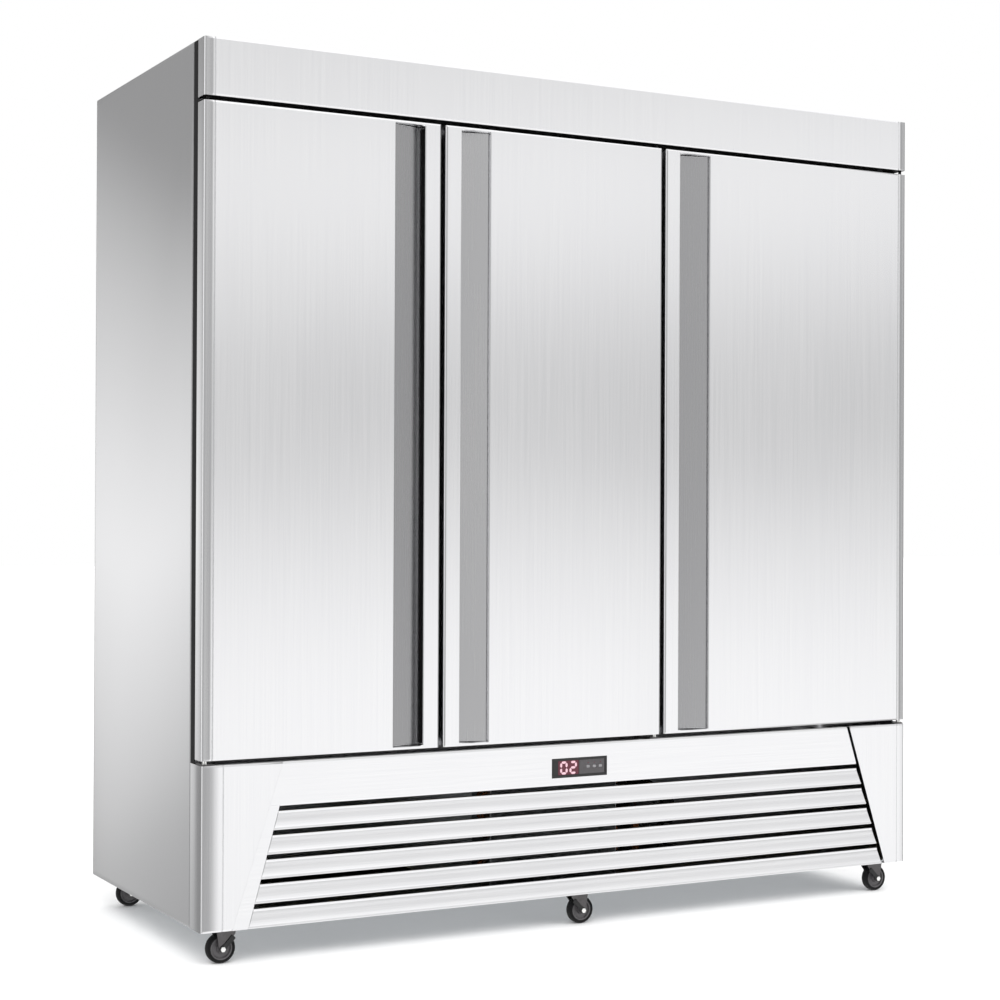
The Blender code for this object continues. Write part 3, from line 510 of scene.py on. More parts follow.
def build_header():
    """The header: its plan carried up as a box that is open below, with walls 2.2 mm thick."""
    low, high = box_of("header_fascia")
    skin_back = box_of("door_1_skin")[1][1]
    wall = 2.2 * MM
    outer = np.array(front_plan(low[0], high[0], low[1], skin_back, high[1], 12 * MM))
    inner_x = outer[:, 0] - np.sign(outer[:, 0] - (low[0] + high[0]) / 2) * wall
    inner_y = np.clip(outer[:, 1], low[1] + HEM_DEPTH + wall, high[1] - wall)
    rings = [np.column_stack([inner_x, inner_y, np.full(len(outer), level)])
             for level in (high[2] - wall, low[2])]
    for level, drop in hemmed(low[2], high[2]):
        depth = np.maximum(outer[:, 1], low[1] + drop)
        rings.append(np.column_stack([outer[:, 0], depth, np.full(len(outer), level)]))
    make_piece("header_cover", "cabinet", BRUSHED, [stack(rings)], ["header_fascia"])


def build_seam_shade_trims():
    """Black trims clipped on the front edges of the side sheets, and black covers down the two mullions:
    painted shade in the seams round the doors.
    """
    skin_back, top = box_of("door_1_skin")[1][1], box_of("header_fascia")[1][2]
    frame_front = box_of("face_frame")[0][1]
    trims = []
    for corner, out, inside in ((CAD_BOX[0], 0.5 * MM, 2.1 * MM), (CAD_BOX[1], -2.1 * MM, -0.5 * MM)):
        low = (corner[0] + out, skin_back + 3.5 * MM, TOP_OF_LOWER + 1 * MM)
        trims.append(block(low, (corner[0] + inside, frame_front - 0.2 * MM, top - 0.4 * MM)))
    seals = [box_of(door + "_gasket") for door in HINGED_LEFT]
    base = frame_front - 0.1 * MM
    for (_, last), (first, _) in zip(seals[:-1], seals[1:]):
        left, right = last[0] + 2.5 * MM, first[0] - 2.5 * MM
        section = [(left, base), (left + 1.5 * MM, base - 1.8 * MM), (right - 1.5 * MM, base - 1.8 * MM),
                   (right, base)]
        trims.append(carried(section, [first[2] + 4 * MM, last[2] - 4 * MM]))
    make_piece("seam_shade_trims", "cabinet", BLACK_PAINTED_SHADE, trims)


SLANT_FOOT = 73 * MM
SLANT_HEAD = LOWER_HIGH[0] - LOWER_LOW[0]


def slant(level):
    """Distance in from the cabinet's side to the slanted edge: a straight line from its foot to its head."""
    return SLANT_FOOT + (SLANT_HEAD - SLANT_FOOT) * (np.asarray(level) - BOTTOM) / (TOP_OF_LOWER - BOTTOM)


PANEL_THICK = 18 * MM


def build_lower_panel(side):
    """A folded end panel: its plan carried up, with the slanted edge further in at each level."""
    low, high = box_of("lower_panel_" + side)
    edge, inward = (low[0], 1) if side == "left" else (high[0], -1)
    front, back = low[1], high[1]
    # The left panel meets the louvred one edge to edge; the right one stands clear of the slats' ends.
    clear = -2.95 * MM if side == "left" else 8 * MM
    corner = 5 * MM
    fixed = [(2 * MM, back), (0, back)]
    if side == "left":
        fixed += mm((0, 9), (1.5, 6), (1.5, 3), (3, 1.5), (6, 0), at=(0, front))
        fixed += [(a, front + d) for a, d in groove(52.5 * MM)]
    else:
        fixed += bend((corner, front + corner), corner, 180, 270, 5)
        fixed += [(a, front + d) for a, d in groove(BEAD)]
    ease = 0.1 * MM if side == "left" else 2.5 * MM
    rings = []
    for level, drop in hemmed(low[2], high[2]):
        reach = float(slant(level)) - clear
        moving = [(reach - ease, front), (reach, front + ease), (reach, front + PANEL_THICK),
                  (2 * MM, front + PANEL_THICK)]
        plan = np.array(fixed + moving)
        depth = np.maximum(plan[:, 1], front + drop)
        rings.append(np.column_stack([edge + inward * plan[:, 0], depth, np.full(len(plan), level)]))
    make_piece("lower_cover_" + side, "cabinet", BRUSHED, [stack(rings)], ["lower_panel_" + side])


SLOTS = [TOP_OF_LOWER - 107.5 * MM - i * 55.5 * MM for i in range(5)]
SLOT_HALF = 5.5 * MM
JOINT = 3 * MM


def slant_edge(level, side, inset=0.0):
    """X of the louvred panel's slanted end at a level, on the left (-1) or right (1), brought in by inset."""
    return side * (CAD_BOX[1][0] - float(slant(level)) - JOINT - inset)


def slat_start(level):
    """X where the slots and slats begin: a line a little steeper than the panel's own slanted edge."""
    share = (SLOTS[0] - level) / (SLOTS[0] - SLOTS[-1])
    return slant_edge(level, -1, 28 * MM + 11 * MM * share)


def build_grille():
    """The louvred panel: a top plate with the controller's window, a solid margin, and folded slats."""
    low, high = box_of("grille_panel")
    front, back = low[1], high[1]
    window_low, window_high = box_of("controller_housing")
    left, right = window_low[0] - 0.4 * MM, window_high[0] + 0.4 * MM
    foot_of_window, head_of_window = window_low[2] - 0.4 * MM, window_high[2] + 0.4 * MM
    top_low = SLOTS[0] + SLOT_HALF

    def outline(y, drop):
        """Eight points round the plate: four along its lower edge, four back along its upper edge."""
        foot, head = top_low + drop, high[2] - drop
        ring = [(slant_edge(foot, -1), foot), (left, foot), (right, foot), (slant_edge(foot, 1), foot),
                (slant_edge(head, 1), head), (right, head), (left, head), (slant_edge(head, -1), head)]
        return [(x, y, z) for x, z in ring]

    # The plate's outline and the window's, each of eight points, joined front and back.
    xs = (left, left + 0.2 * MM, right - 0.2 * MM, right)
    window = [(x, foot_of_window) for x in xs] + [(x, head_of_window) for x in xs[::-1]]
    rings = [outline(back, 0), outline(front + HEM_DEPTH, 0), outline(front, HEM),
             outline(front, HEM + CREASE)]
    rings += [[(x, y, z) for x, z in window] for y in (front, back)]
    margin = []
    for level in (low[2], top_low + 2 * MM):
        outer, inner = slant_edge(level, -1), slat_start(level)
        margin.append([(outer, front, level), (inner - 3 * MM, front, level), (inner, front + 3 * MM, level),
                       (inner, back, level), (outer, back, level)])
    make_piece("louvre_plate", "cabinet", SLAT, [stack(rings, closed=True), stack(margin)],
               ["grille_panel"])
    slats = []
    for index, slot in enumerate(SLOTS):
        foot = SLOTS[index + 1] + SLOT_HALF if index + 1 < len(SLOTS) else low[2]
        slats.append(slat(foot, slot - SLOT_HALF - 1.2 * MM, front, back))
    make_piece("louvre_slats", "cabinet", SLAT, slats, bevel=0.9 * MM, segments=2)


def slat(foot, head, front, back):
    """One slat: hems that face forward along both edges, and between them a field that leans back."""
    section = [(0.6, foot), (0.6, foot + 4.5 * MM), (1.6, foot + 6 * MM), (6.0, head - 5 * MM),
               (5.0, head - 3.6 * MM), (5.0, head)]
    section = [(front + depth * MM, level) for depth, level in section] + [(back, head), (back, foot)]
    ends = []
    for side in (-1, 1):
        ends.append([(slat_start(z) - 4 * MM if side < 0 else slant_edge(z, 1), y, z) for y, z in section])
    return stack(ends)


# ---------------------------------------------------------------- cabinet sheets

def build_side(side):
    """A side sheet with a hem folded along its four edges, which stands in a little from the flat field."""
    name = "side_panel_" + side
    low, high = box_of(name)
    out, inside = (low[0], high[0]) if side == "left" else (high[0], low[0])
    step = 0.35 * MM if side == "left" else -0.35 * MM
    profile = [(0, inside), (0, out + 2 * step), (0.8 * MM, out + step), (9 * MM, out + step),
               (10.5 * MM, out)]
    sheet = around((low[1], low[2]), (high[1], high[2]), profile, 1.5 * MM, axis="x", steps=2)
    make_piece("side_sheet_" + side, "cabinet", BRUSHED, [sheet], [name])


def build_top():
    """The top sheet, with its field pressed in a little and rivets along its back edge."""
    low, high = box_of("top_panel")
    step = 1.2 * MM
    profile = [(0, low[2]), (0, high[2] - 0.6 * MM), (0.6 * MM, high[2]), (60 * MM, high[2]),
               (64 * MM, high[2] - step * 0.5), (70 * MM, high[2] - step * 0.5), (74 * MM, high[2])]
    sheet = around((low[0], low[1]), (high[0], high[1]), profile, 2 * MM, axis="z", steps=2)
    rivet = turned(mm((0, 0), (2.4, 0), (2.2, 0.5), (1.2, 0.9), (0, 1.0)), (0, 0, 0), "z", 10)
    places = [(x, high[1] - 9 * MM, high[2] - 0.2 * MM)
              for x in np.linspace(low[0] + 0.06, high[0] - 0.06, 12)]
    make_piece("top_sheet", "cabinet", BRUSHED_FLAT, [sheet] + copies(rivet, places), ["top_panel"])


# A pan head with a hexagonal socket, facing +Y from the origin.
SCREW_HEAD = turned(
    mm((0, 0), (3.6, 0), (3.6, 0.9), (2.88, 1.8), (1.62, 2.1), (1.44, 1.0), (0, 1.0)), ORIGIN, "y", 12
)
# A louvre is a blister that rises to a lip at its lower edge and is cut open below.
LOUVRE_WIDE, LOUVRE_TALL, LOUVRE_DEEP = 110 * MM, 9 * MM, 2.6 * MM
LOUVRE_COLUMNS, LOUVRE_ROWS = np.linspace(-0.72, 0.72, 10), np.linspace(0.17, 0.39, 12)
SEAM = 0.462  # height of the back sheet's middle row of screws


def back_louvre(field):
    """One louvre: an outer line at each height, and back along a foot let a little into the field."""
    across = np.linspace(-1, 1, 13)
    swell = np.sqrt(np.clip(1 - across**4, 0, 1)) * LOUVRE_DEEP
    rings = []
    for up, share in ((0.0, 1.0), (0.2, 0.97), (0.5, 0.75), (0.8, 0.3), (1.0, 0.0)):
        over = np.column_stack(
            [across * LOUVRE_WIDE / 2, field + swell * share + 0.02 * MM, np.full(13, up * LOUVRE_TALL)]
        )
        under = over.copy()
        under[:, 1] = field - 0.2 * MM
        rings.append(np.concatenate([over, under[::-1]]))
    return stack(rings)


def build_back():
    """The back sheet, with rows of pressed louvres behind the machine compartment and lines of screws."""
    low, high = box_of("back_panel")
    field = low[1] + (high[1] - low[1]) * 0.55
    rim = [(0, low[1]), (0, high[1] - 0.4 * MM), (0.4 * MM, high[1] - 0.2 * MM),
           (14 * MM, high[1] - 0.2 * MM), (16 * MM, field), (20 * MM, field)]
    sheet = around(low[[0, 2]], high[[0, 2]], rim, 2 * MM)
    places = [(x, 0, z) for x in LOUVRE_COLUMNS for z in LOUVRE_ROWS]
    x0, x1, z0, z1 = low[0] + 8 * MM, high[0] - 8 * MM, low[2] + 8 * MM, high[2] - 8 * MM
    screws = [(x, z) for x in np.linspace(x0, x1, 9) for z in (z0, SEAM, z1)]
    screws += [(x, z) for x in (x0, x1) for z in np.linspace(0.75, 1.85, 5)]
    heads = copies(SCREW_HEAD, [(x, high[1] - 2.2 * MM, z) for x, z in screws])
    # A thin black sheet in each louvre's open mouth is painted shade of the compartment behind it.
    slit_end = LOUVRE_WIDE * 0.46
    slit = block((-slit_end, field - 0.1 * MM, -3.4 * MM), (slit_end, field + 0.1 * MM, -0.1 * MM))
    sheets = [sheet] + copies(back_louvre(field), places)
    make_piece("back_sheet", "cabinet", ZINC_SHEET, sheets, ["back_panel"])
    make_piece("back_screws", "cabinet", ZINC, heads)
    make_piece("back_louvre_shade_sheets", "cabinet", BLACK_PAINTED_SHADE, copies(slit, places))


# ---------------------------------------------------------------- controller and hinges

def segment_bars(centre, height, lit):
    """The bars of a seven-segment digit that are lit: each a six-sided lozenge lying flat in the window."""
    half_h, half_w, thick = height / 2, height * 0.29, height * 0.105
    spots = {
        "a": (0, half_h, 0), "g": (0, 0, 0), "d": (0, -half_h, 0), "f": (-half_w, half_h / 2, 1),
        "b": (half_w, half_h / 2, 1), "e": (-half_w, -half_h / 2, 1), "c": (half_w, -half_h / 2, 1),
    }
    bars = []
    for key in lit:
        across, up, upright = spots[key]
        length = (half_h / 2 if upright else half_w) - thick * 0.35
        lozenge = np.array([(-length, 0), (-length + thick, -thick), (length - thick, -thick), (length, 0),
                            (length - thick, thick), (-length + thick, thick)])
        if upright:
            lozenge = lozenge[:, ::-1]
        lozenge = lozenge + (centre[0] + across, centre[2] + up)
        bars.append(carried(lozenge, [centre[1], centre[1] + 0.5 * MM], "y"))
    return bars


FRAME_IN = 6.4 * MM  # the window and keypad stand in this far from the housing's edges
FILM_THICK, SEAT = 0.5 * MM, 0.05 * MM  # pieces are let into the housing's face by the seat
KEY_GAP = 0.5 * MM


def build_controller():
    """On the black housing: a bezel, and on its left a lit window with two digits."""
    low, high = box_of("controller_housing")
    face = low[1]
    rim = mm((0.4, -0.05), (0.8, -1.1), (1.6, -1.5), (4.4, -1.5), (5.2, -1.0), (5.6, -0.05), at=(0, face))
    bezel = around(low[[0, 2]], high[[0, 2]], rim, 3 * MM, closed=True)
    make_piece("controller_bezel", "cabinet", ABS_BLACK, [bezel])
    left, right = low[0] + 19 * MM, low[0] + 78 * MM
    rim = mm((0, -0.05), (0, -0.3), (0.4, -0.6), at=(0, face))
    pane = around((left, low[2] + FRAME_IN), (right, high[2] - FRAME_IN), rim, 1.5 * MM)
    make_piece("display_window", "cabinet", WINDOW, [pane])
    digits = []
    for x, lit in ((left + 16 * MM, "abcdef"), (right - 16 * MM, "abged")):
        digits += segment_bars((x, face - 1.1 * MM, (low[2] + high[2]) / 2), 27 * MM, lit)
    make_piece("display_digits", "cabinet", LIT, digits)
    build_keypad((right + 2 * MM, low[2] + FRAME_IN), (high[0] - FRAME_IN, high[2] - FRAME_IN), face)


def build_keypad(low, high, face):
    """A film from low to high, cut out round each key, with a lamp over each key and a cap on it."""
    keys = [box_of(f"controller_button_{i}") for i in (1, 2, 3)]
    y0, y1 = face - SEAT - FILM_THICK, face - SEAT
    row_low, row_high = keys[0][0][2] - KEY_GAP, keys[0][1][2] + KEY_GAP
    starts = [low[0]] + [key_high[0] + KEY_GAP for _, key_high in keys]
    stops = [key_low[0] - KEY_GAP for key_low, _ in keys] + [high[0]]
    film = [block((low[0], y0, low[1]), (high[0], y1, row_low)),
            block((low[0], y0, row_high), (high[0], y1, high[1]))]
    film += [block((a, y0, row_low), (b, y1, row_high)) for a, b in zip(starts, stops)]
    make_piece("keypad_film", "cabinet", KEY_GREY, film)
    dot = turned(mm((0, 0), (1.5, 0), (1.3, -0.4), (0.6, -0.7), (0, -0.8)), ORIGIN, "y", 10)
    up = (low[1] + high[1]) / 2 + 9.5 * MM
    dots = copies(dot, [((key_low[0] + key_high[0]) / 2, y0, up) for key_low, key_high in keys])
    make_piece("indicator_lamps", "cabinet", UNLIT, dots)
    for index, (key_low, key_high) in enumerate(keys, 1):
        rim = mm((0, 0.9), (0.3, 0.35), (1.0, 0), (2.0, 0.15), (2.8, 0.3), at=(0, key_low[1]))
        cap = around(key_low[[0, 2]], key_high[[0, 2]], [(0, key_high[1])] + rim, 2 * MM)
        name = f"controller_button_{index}"
        make_piece(f"key_cap_{index}", name, SILICONE, [cap], [name])


def build_hinge_details():
    """Bright collars round the hinge pins, in the seam under each door."""
    bushes = []
    for door in HINGED_LEFT:
        skin_low, skin_high = box_of(door + "_skin")
        x = skin_low[0] + 12 * MM if HINGED_LEFT[door] else skin_high[0] - 12 * MM
        y = skin_low[1] + 12 * MM
        bush = turned(mm((4.3, 0.2), (7.5, 0.2), (7.5, 1.4), (5.8, 2.2), (5.8, 6.4), (4.3, 6.4)),
                      (x, y, skin_low[2] - 7.2 * MM), "z", 20, True)
        bushes.append(bush)
    make_piece("hinge_bushes", "cabinet", BRIGHT_NUT, bushes)


# ---------------------------------------------------------------- casters

BRAKED = ("front_left", "front_middle", "front_right", "rear_left")
CASTERS = BRAKED + ("rear_middle", "rear_right")


def build_caster(place):
    """A caster's tread and hub, turned round the wheel's axle, and its fork."""
    name = f"caster_{place}_wheel"
    low, high = box_of(name)
    wheel, radius, half = (low + high) / 2, (high[2] - low[2]) / 2, (high[1] - low[1]) / 2
    rim = radius - 9 * MM
    tread = [(rim, -half * 0.86), (radius - 4.5 * MM, -half), (radius - 1.4 * MM, -half * 0.80),
             (radius - 0.1 * MM, -half * 0.42)]
    tread += [(radius, 0)] + [(r, -y) for r, y in reversed(tread)]
    tread = turned(tread, wheel, "y", 48, True)
    hub = [(4.8 * MM, -half * 0.98), (9.5 * MM, -half * 0.98), (10.5 * MM, -half * 0.8),
           (11.5 * MM, -half * 0.42), (rim - 4 * MM, -half * 0.42), (rim - 2.5 * MM, -half * 0.82),
           (rim + 0.4 * MM, -half * 0.88)]
    hub += [(r, -y) for r, y in reversed(hub)]
    make_piece(f"caster_{place}_tread", name, TREAD, [tread])
    make_piece(f"caster_{place}_hub", name, HUB, [turned(hub, wheel, "y", 40, True)], [name])
    build_fork(place, wheel, half)


def build_fork(place, wheel, half):
    """Two pressed legs that narrow from the crown to the axle, a domed crown, and the axle with its nuts."""
    body = f"caster_{place}_fork"
    fork_low, fork_high = box_of(body)
    x, top = (fork_low[0] + fork_high[0]) / 2, fork_high[2]
    inside, thick, foot, leg_wide = half + 4 * MM, 3 * MM, 9 * MM, 24 * MM
    axle_x, axle_z = wheel[0], wheel[2]
    outline = [(x - leg_wide, top - 1.0 * MM), (x - leg_wide + 1.5 * MM, top - 9 * MM),
               (axle_x - foot - 0.6 * MM, axle_z + 5 * MM)]
    outline += bend((axle_x, axle_z), foot, 170, 370, 10)
    outline += [(x + leg_wide - 1.5 * MM, top - 9 * MM), (x + leg_wide, top - 1.0 * MM)]
    shapes = []
    for side in (-1, 1):
        near, far = wheel[1] + side * inside, wheel[1] + side * (inside + thick)
        shapes.append(carried(outline, sorted((near, far)), "y"))
    crown_low = (x - leg_wide, wheel[1] - inside - thick)
    crown_high = (x + leg_wide, wheel[1] + inside + thick)
    crown = [(0, top - thick - 1.2 * MM), (0, top - 2.2 * MM), (1.2 * MM, top - 0.6 * MM),
             (3 * MM, top - 0.1 * MM)]
    shapes.append(around(crown_low, crown_high, crown, 6 * MM, "z"))
    rivet = mm((0, -2.6), (3.5, -2.4), (6.5, -1.2), (7.5, 0.6), (0, 0.6))
    shapes.append(turned(rivet, (x, wheel[1], top - thick - 1.2 * MM), "z", 16))
    make_piece(f"caster_{place}_legs", body, DARK_ZINC, shapes, [body], bevel=0.7 * MM,
               segments=2)
    front_end = fork_low[1]
    length = fork_high[1] - front_end - 1.5 * MM
    pin = [(0, 0), (3.9 * MM, 0), (3.9 * MM, length), (0, length)]
    pin = turned(pin, (axle_x, front_end + 0.8 * MM, axle_z), "y", 16)
    nut = mm((0, 0), (3.4, 0), (3.8, 0.5), (6.0, 0.7), (6.5, 1.2), (6.5, 3.0), (0, 3.0))
    nut = turned(nut, (axle_x, front_end, axle_z), "y", 6)
    back_nut = mm((0, 0), (6.5, 0), (6.5, 2.4), (5.8, 3.0), (0, 3.0))
    back_nut = turned(back_nut, (axle_x, wheel[1] + inside + thick, axle_z), "y", 6)
    make_piece(f"caster_{place}_axle", body, BRIGHT_NUT, [pin, nut, back_nut])


def build_pedal(place):
    """The brake pedal: a lever from the axle that widens towards its foot plate."""
    name = f"caster_{place}_brake"
    low, high = box_of(name)
    wheel_low, wheel_high = box_of(f"caster_{place}_wheel")
    wheel = (wheel_low + wheel_high) / 2
    side = 1 if (high[0] - wheel[0]) > (wheel[0] - low[0]) else -1
    reach, rise = 27 * MM, 28 * MM
    length = math.hypot(reach, rise)
    along = np.array([side * reach / length, rise / length])
    across = np.array([-along[1], along[0]])
    front, back = low[1], high[1]
    turn = math.degrees(math.atan2(along[1], along[0]))
    heel = bend((wheel[0], wheel[2]), 7.6 * MM, turn + 90, turn + 270, 12)

    def at(forward, sideways):
        """A point along the lever, as a share of its length, and this many millimetres to its side."""
        return tuple(np.array([wheel[0], wheel[2]]) + along * forward * length + across * sideways * MM)

    outline = heel + [at(0.35, -5.2), at(0.7, -5.6), at(0.94, -6.3), at(1.0, -5.0)]
    outline += [at(1.0, 5.0), at(0.94, 6.3), at(0.7, 5.6), at(0.35, 5.2)]
    arm = carried(outline, [front + 0.1 * MM, back], "y")
    make_piece(f"caster_{place}_pedal", name, PEDAL, [arm], [name], bevel=0.5 * MM,
               segments=2)


# ---------------------------------------------------------------- inside the cabinet

CAVITY = 59.6 * MM  # from the outer side to the liner's face
SHELVES = [f"shelf_{bay}_{level}" for bay in (1, 2, 3) for level in (1, 2, 3)]
ROD, FINE_ROD, STAY = 3.2 * MM, 1.7 * MM, 2.4 * MM  # radii of a shelf's wires


def build_shelves():
    """Wire shelves: a border rod, three supports across, and close rods from front to back on top."""
    for name in SHELVES:
        low, high = box_of(name)
        border = round_rectangle(low[:2] + ROD, high[:2] - ROD, 12 * MM)
        border = np.column_stack([border, np.full(len(border), low[2] + ROD + 0.6 * MM)])
        shapes = [tube(border, ROD, closed=True)]
        count = int(round((high[0] - low[0]) / (26 * MM)))
        top = high[2] - FINE_ROD
        rod = tube([(0, low[1] + ROD, top), (0, high[1] - ROD, top)], FINE_ROD, 6)
        shapes += copies(rod, [(x, 0, 0) for x in np.linspace(low[0] + 16 * MM, high[0] - 16 * MM, count)])
        level = top - FINE_ROD - STAY
        for y in np.linspace(low[1] + 140 * MM, high[1] - 140 * MM, 3):
            shapes.append(tube([(low[0] + ROD, y, level), (high[0] - ROD, y, level)], STAY))
        make_piece(name + "_wires", "cabinet", WIRE, shapes, [name])


UPRIGHT_HALF, UPRIGHT_DEEP = 11 * MM, 5 * MM
UPRIGHT_SLOT, BRIDGE_HALF = 3.4 * MM, 3.6 * MM


def upright(axis, middle, depth, bridge_depth, span):
    """A slotted upright: two rails joined by short bridges, wide along axis and deep along the other."""

    def part(reach, deep, levels):
        """A block whose reach is measured from the upright's middle."""
        low, high = [0, 0, levels[0]], [0, 0, levels[1]]
        low[axis], high[axis] = middle + reach[0], middle + reach[1]
        low[1 - axis], high[1 - axis] = deep
        return block(low, high)

    rails = ((-UPRIGHT_HALF, -UPRIGHT_SLOT), (UPRIGHT_SLOT, UPRIGHT_HALF))
    bridge = part((-BRIDGE_HALF, BRIDGE_HALF), bridge_depth, (0, 13 * MM))
    return [part(r, depth, span) for r in rails] + copies(bridge,
                                                          [(0, 0, z) for z in np.arange(*span, 25 * MM)])


def build_uprights():
    """Slotted uprights for the shelves, on the back wall, on the side walls and between the bays."""
    left, right, back = CAD_BOX[0][0] + CAVITY, CAD_BOX[1][0] - CAVITY, CAD_BOX[1][1] - CAVITY
    doors = [box_of(door + "_skin") for door in HINGED_LEFT]
    joins = [(doors[0][1][0] + doors[1][0][0]) / 2, (doors[1][1][0] + doors[2][0][0]) / 2]
    span = (box_of("inner_liner")[0][2] + 42 * MM, box_of("evaporator_cover")[0][2] - 20 * MM)
    shapes = []
    front = back - UPRIGHT_DEEP
    for x in [left + 13 * MM] + [j + side * 15 * MM for side in (-1, 1) for j in joins] + [right - 13 * MM]:
        shapes += upright(0, x, (front, back - 0.2 * MM), (front + 0.1 * MM, front + 1.2 * MM), span)
    y = box_of("shelf_1_1")[0][1] + 20 * MM
    for wall, inward in ((left, 1), (right, -1)):
        depth = sorted((wall + inward * 0.2 * MM, wall + inward * UPRIGHT_DEEP))
        shapes += upright(1, y, depth, depth, span)
    for join in joins:
        for side in (-1, 1):
            near, far = sorted((join + side * 5.4 * MM, join + side * 2.4 * MM))
            shapes.append(block((near, y - UPRIGHT_HALF, span[0]), (far, y + UPRIGHT_HALF, span[1])))
    make_piece("shelf_uprights", "cabinet", BRUSHED, shapes)


def build_clips():
    """A folded clip under each corner of every shelf."""
    section = mm((7, 0), (-5, 0), (-5, -1.5), (5.5, -1.5), (5.5, -14), (7, -14))
    clips = []
    for name in SHELVES:
        low, high = box_of(name)
        for x, inward in ((low[0] + 2 * MM, -1), (high[0] - 2 * MM, 1)):
            plan = [(x + inward * a, low[2] - 0.3 * MM + b) for a, b in section]
            for y in (low[1] + 20 * MM, high[1] - 16 * MM):
                clips.append(carried(plan, [y - 6 * MM, y + 6 * MM], "y"))
    make_piece("shelf_clips", "cabinet", ZINC, clips)


BLADES = 5
BLADE_THICK, BLADE_BOW = 1.2 * MM, 0.12  # the bow is a share of the blade's depth


def fan_blade(radius, root, start, width, depth):
    """A swept blade: it widens and turns towards its tip, leans over depth, and bows across."""
    out = np.linspace(0, 1, 9)[:, None]
    across = np.linspace(-0.5, 0.5, 9)[None, :]
    r = root + (radius - root) * out
    angle = start + (across * width) * (0.75 + 0.35 * out) + 0.22 * out**2
    level = across * depth * (1.0 - 0.25 * out) + BLADE_BOW * depth * (1 - 4 * across**2)
    front = np.stack(np.broadcast_arrays(r * np.cos(angle), level - BLADE_THICK / 2, r * np.sin(angle)), 2)
    rear = front + (0, BLADE_THICK, 0)
    rings = np.concatenate([front, rear[:, ::-1]], 1)
    return stack(rings)


def build_fan(name, material):
    """Blades round a domed hub, in the room of the part's own fan. Returns the fan's centre and radius."""
    low, high = box_of(name)
    centre = (low + high) / 2
    radius, depth = (high[2] - low[2]) / 2, high[1] - low[1]
    hub = radius * 0.34
    shapes = []
    pitch = 2 * math.pi / BLADES
    for index in range(BLADES):
        points, faces = fan_blade(radius * 0.985, hub * 0.9, index * pitch, pitch * 0.72, depth * 0.78)
        shapes.append((points + centre, faces))
    dome = [(0, -depth * 0.46), (hub * 0.55, -depth * 0.44), (hub * 0.86, -depth * 0.34), (hub, -depth * 0.2),
            (hub, depth * 0.44), (hub * 0.9, depth * 0.47), (0, depth * 0.47)]
    shapes.append(turned(dome, centre, "y", 32))
    make_piece(name + "_blades", name, material, shapes, [name])
    return centre, radius


def wire_guard(centre, radius, y, rings, spokes, thick=1.1 * MM):
    """A guard of round wire: rings about the fan's axis, crossed by straight spokes."""
    turn = np.linspace(0, 2 * math.pi, 48, endpoint=False)
    shapes = []
    for share in np.linspace(0.16, 1.0, rings):
        ring = np.stack([centre[0] + radius * share * np.cos(turn), np.full(48, y),
                         centre[2] + radius * share * np.sin(turn)], 1)
        shapes.append(tube(ring, thick, 6, closed=True, up=(0, 1, 0)))
    for angle in np.arange(spokes) * math.pi / spokes + 0.2:
        run = np.array([math.cos(angle), 0, math.sin(angle)]) * radius
        middle = np.array([centre[0], y + 1.8 * thick, centre[2]])
        shapes.append(tube([middle - run, middle + run], thick, 6, up=(0, 1, 0)))
    return shapes


def build_evaporator():
    """Under the ceiling at the back: fans, guards, motors with their stays, the coil and screws."""
    low, high = box_of("evaporator_cover")
    guards, motors = [], []
    can = mm((0, 0), (22, 0), (24, 3), (24, 34), (20, 38), (0, 38))
    for side in ("left", "right"):
        centre, radius = build_fan("evaporator_fan_" + side, ABS_BLACK)
        guards += wire_guard(centre, radius + 5 * MM, low[1] - 3.2 * MM, 6, 3)
        motors.append(turned(can, (centre[0], high[1] - 168 * MM, centre[2]), "y", 28))
        x, y, z = centre[0], centre[1] + 34 * MM, centre[2]
        reach = radius + 12 * MM
        motors.append(block((x - reach, y, z - 8 * MM), (x + reach, y + 2 * MM, z + 8 * MM)))
    make_piece("evaporator_guards", "cabinet", ZINC, guards)
    make_piece("evaporator_motors", "cabinet", ENAMEL, motors)
    build_evaporator_coil(low, high)
    screw = turned(mm((0, 0), (3.4, 0), (3.2, -1.0), (2.2, -1.7), (0, -1.9)), ORIGIN, "y", 12)
    places = [(x, low[1] + 0.1 * MM, z) for x in np.linspace(low[0] + 18 * MM, high[0] - 18 * MM, 7)
              for z in (low[2] + 10 * MM, high[2] - 12 * MM)]
    make_piece("evaporator_screws", "cabinet", BRIGHT_NUT, copies(screw, places))


def build_evaporator_coil(low, high):
    """Close fins between two end plates, crossed by rows of tube with return bends."""
    x0, x1 = low[0] + 30 * MM, high[0] - 30 * MM
    y0, y1 = low[1] + 100 * MM, high[1] - 8 * MM
    z0, z1 = low[2] + 10 * MM, high[2] - 6 * MM
    fin = block((-0.35 * MM, y0, z0), (0.35 * MM, y1, z1))
    fins = copies(fin, [(x, 0, 0) for x in np.arange(x0 + 6 * MM, x1 - 4 * MM, 6.5 * MM)])
    for x in (x0, x1):
        fins.append(block((x - 1 * MM, y0 - 3 * MM, z0 - 2 * MM), (x + 1 * MM, y1 + 3 * MM, z1 + 2 * MM)))
    make_piece("evaporator_fins", "cabinet", FINS, fins)
    radius, tubes = 4.8 * MM, []
    left, right = x0 - 8 * MM, x1 + 8 * MM
    levels = np.linspace(z0 + 18 * MM, z1 - 18 * MM, 4)
    for y in np.linspace(y0 + 16 * MM, y1 - 16 * MM, 3):
        tubes += [tube([(left, y, z), (right, y, z)], radius) for z in levels]
        for index, x, out in ((0, left, -1), (2, left, -1), (1, right, 1)):
            bow = half_turn(x, out, y, levels[index], levels[index + 1])
            tubes.append(tube(bow, radius, up=(0, 1, 0)))
    make_piece("evaporator_tubes", "cabinet", COPPER, tubes)


LAMP_HALF, LAMP_END = 0.9, 8 * MM


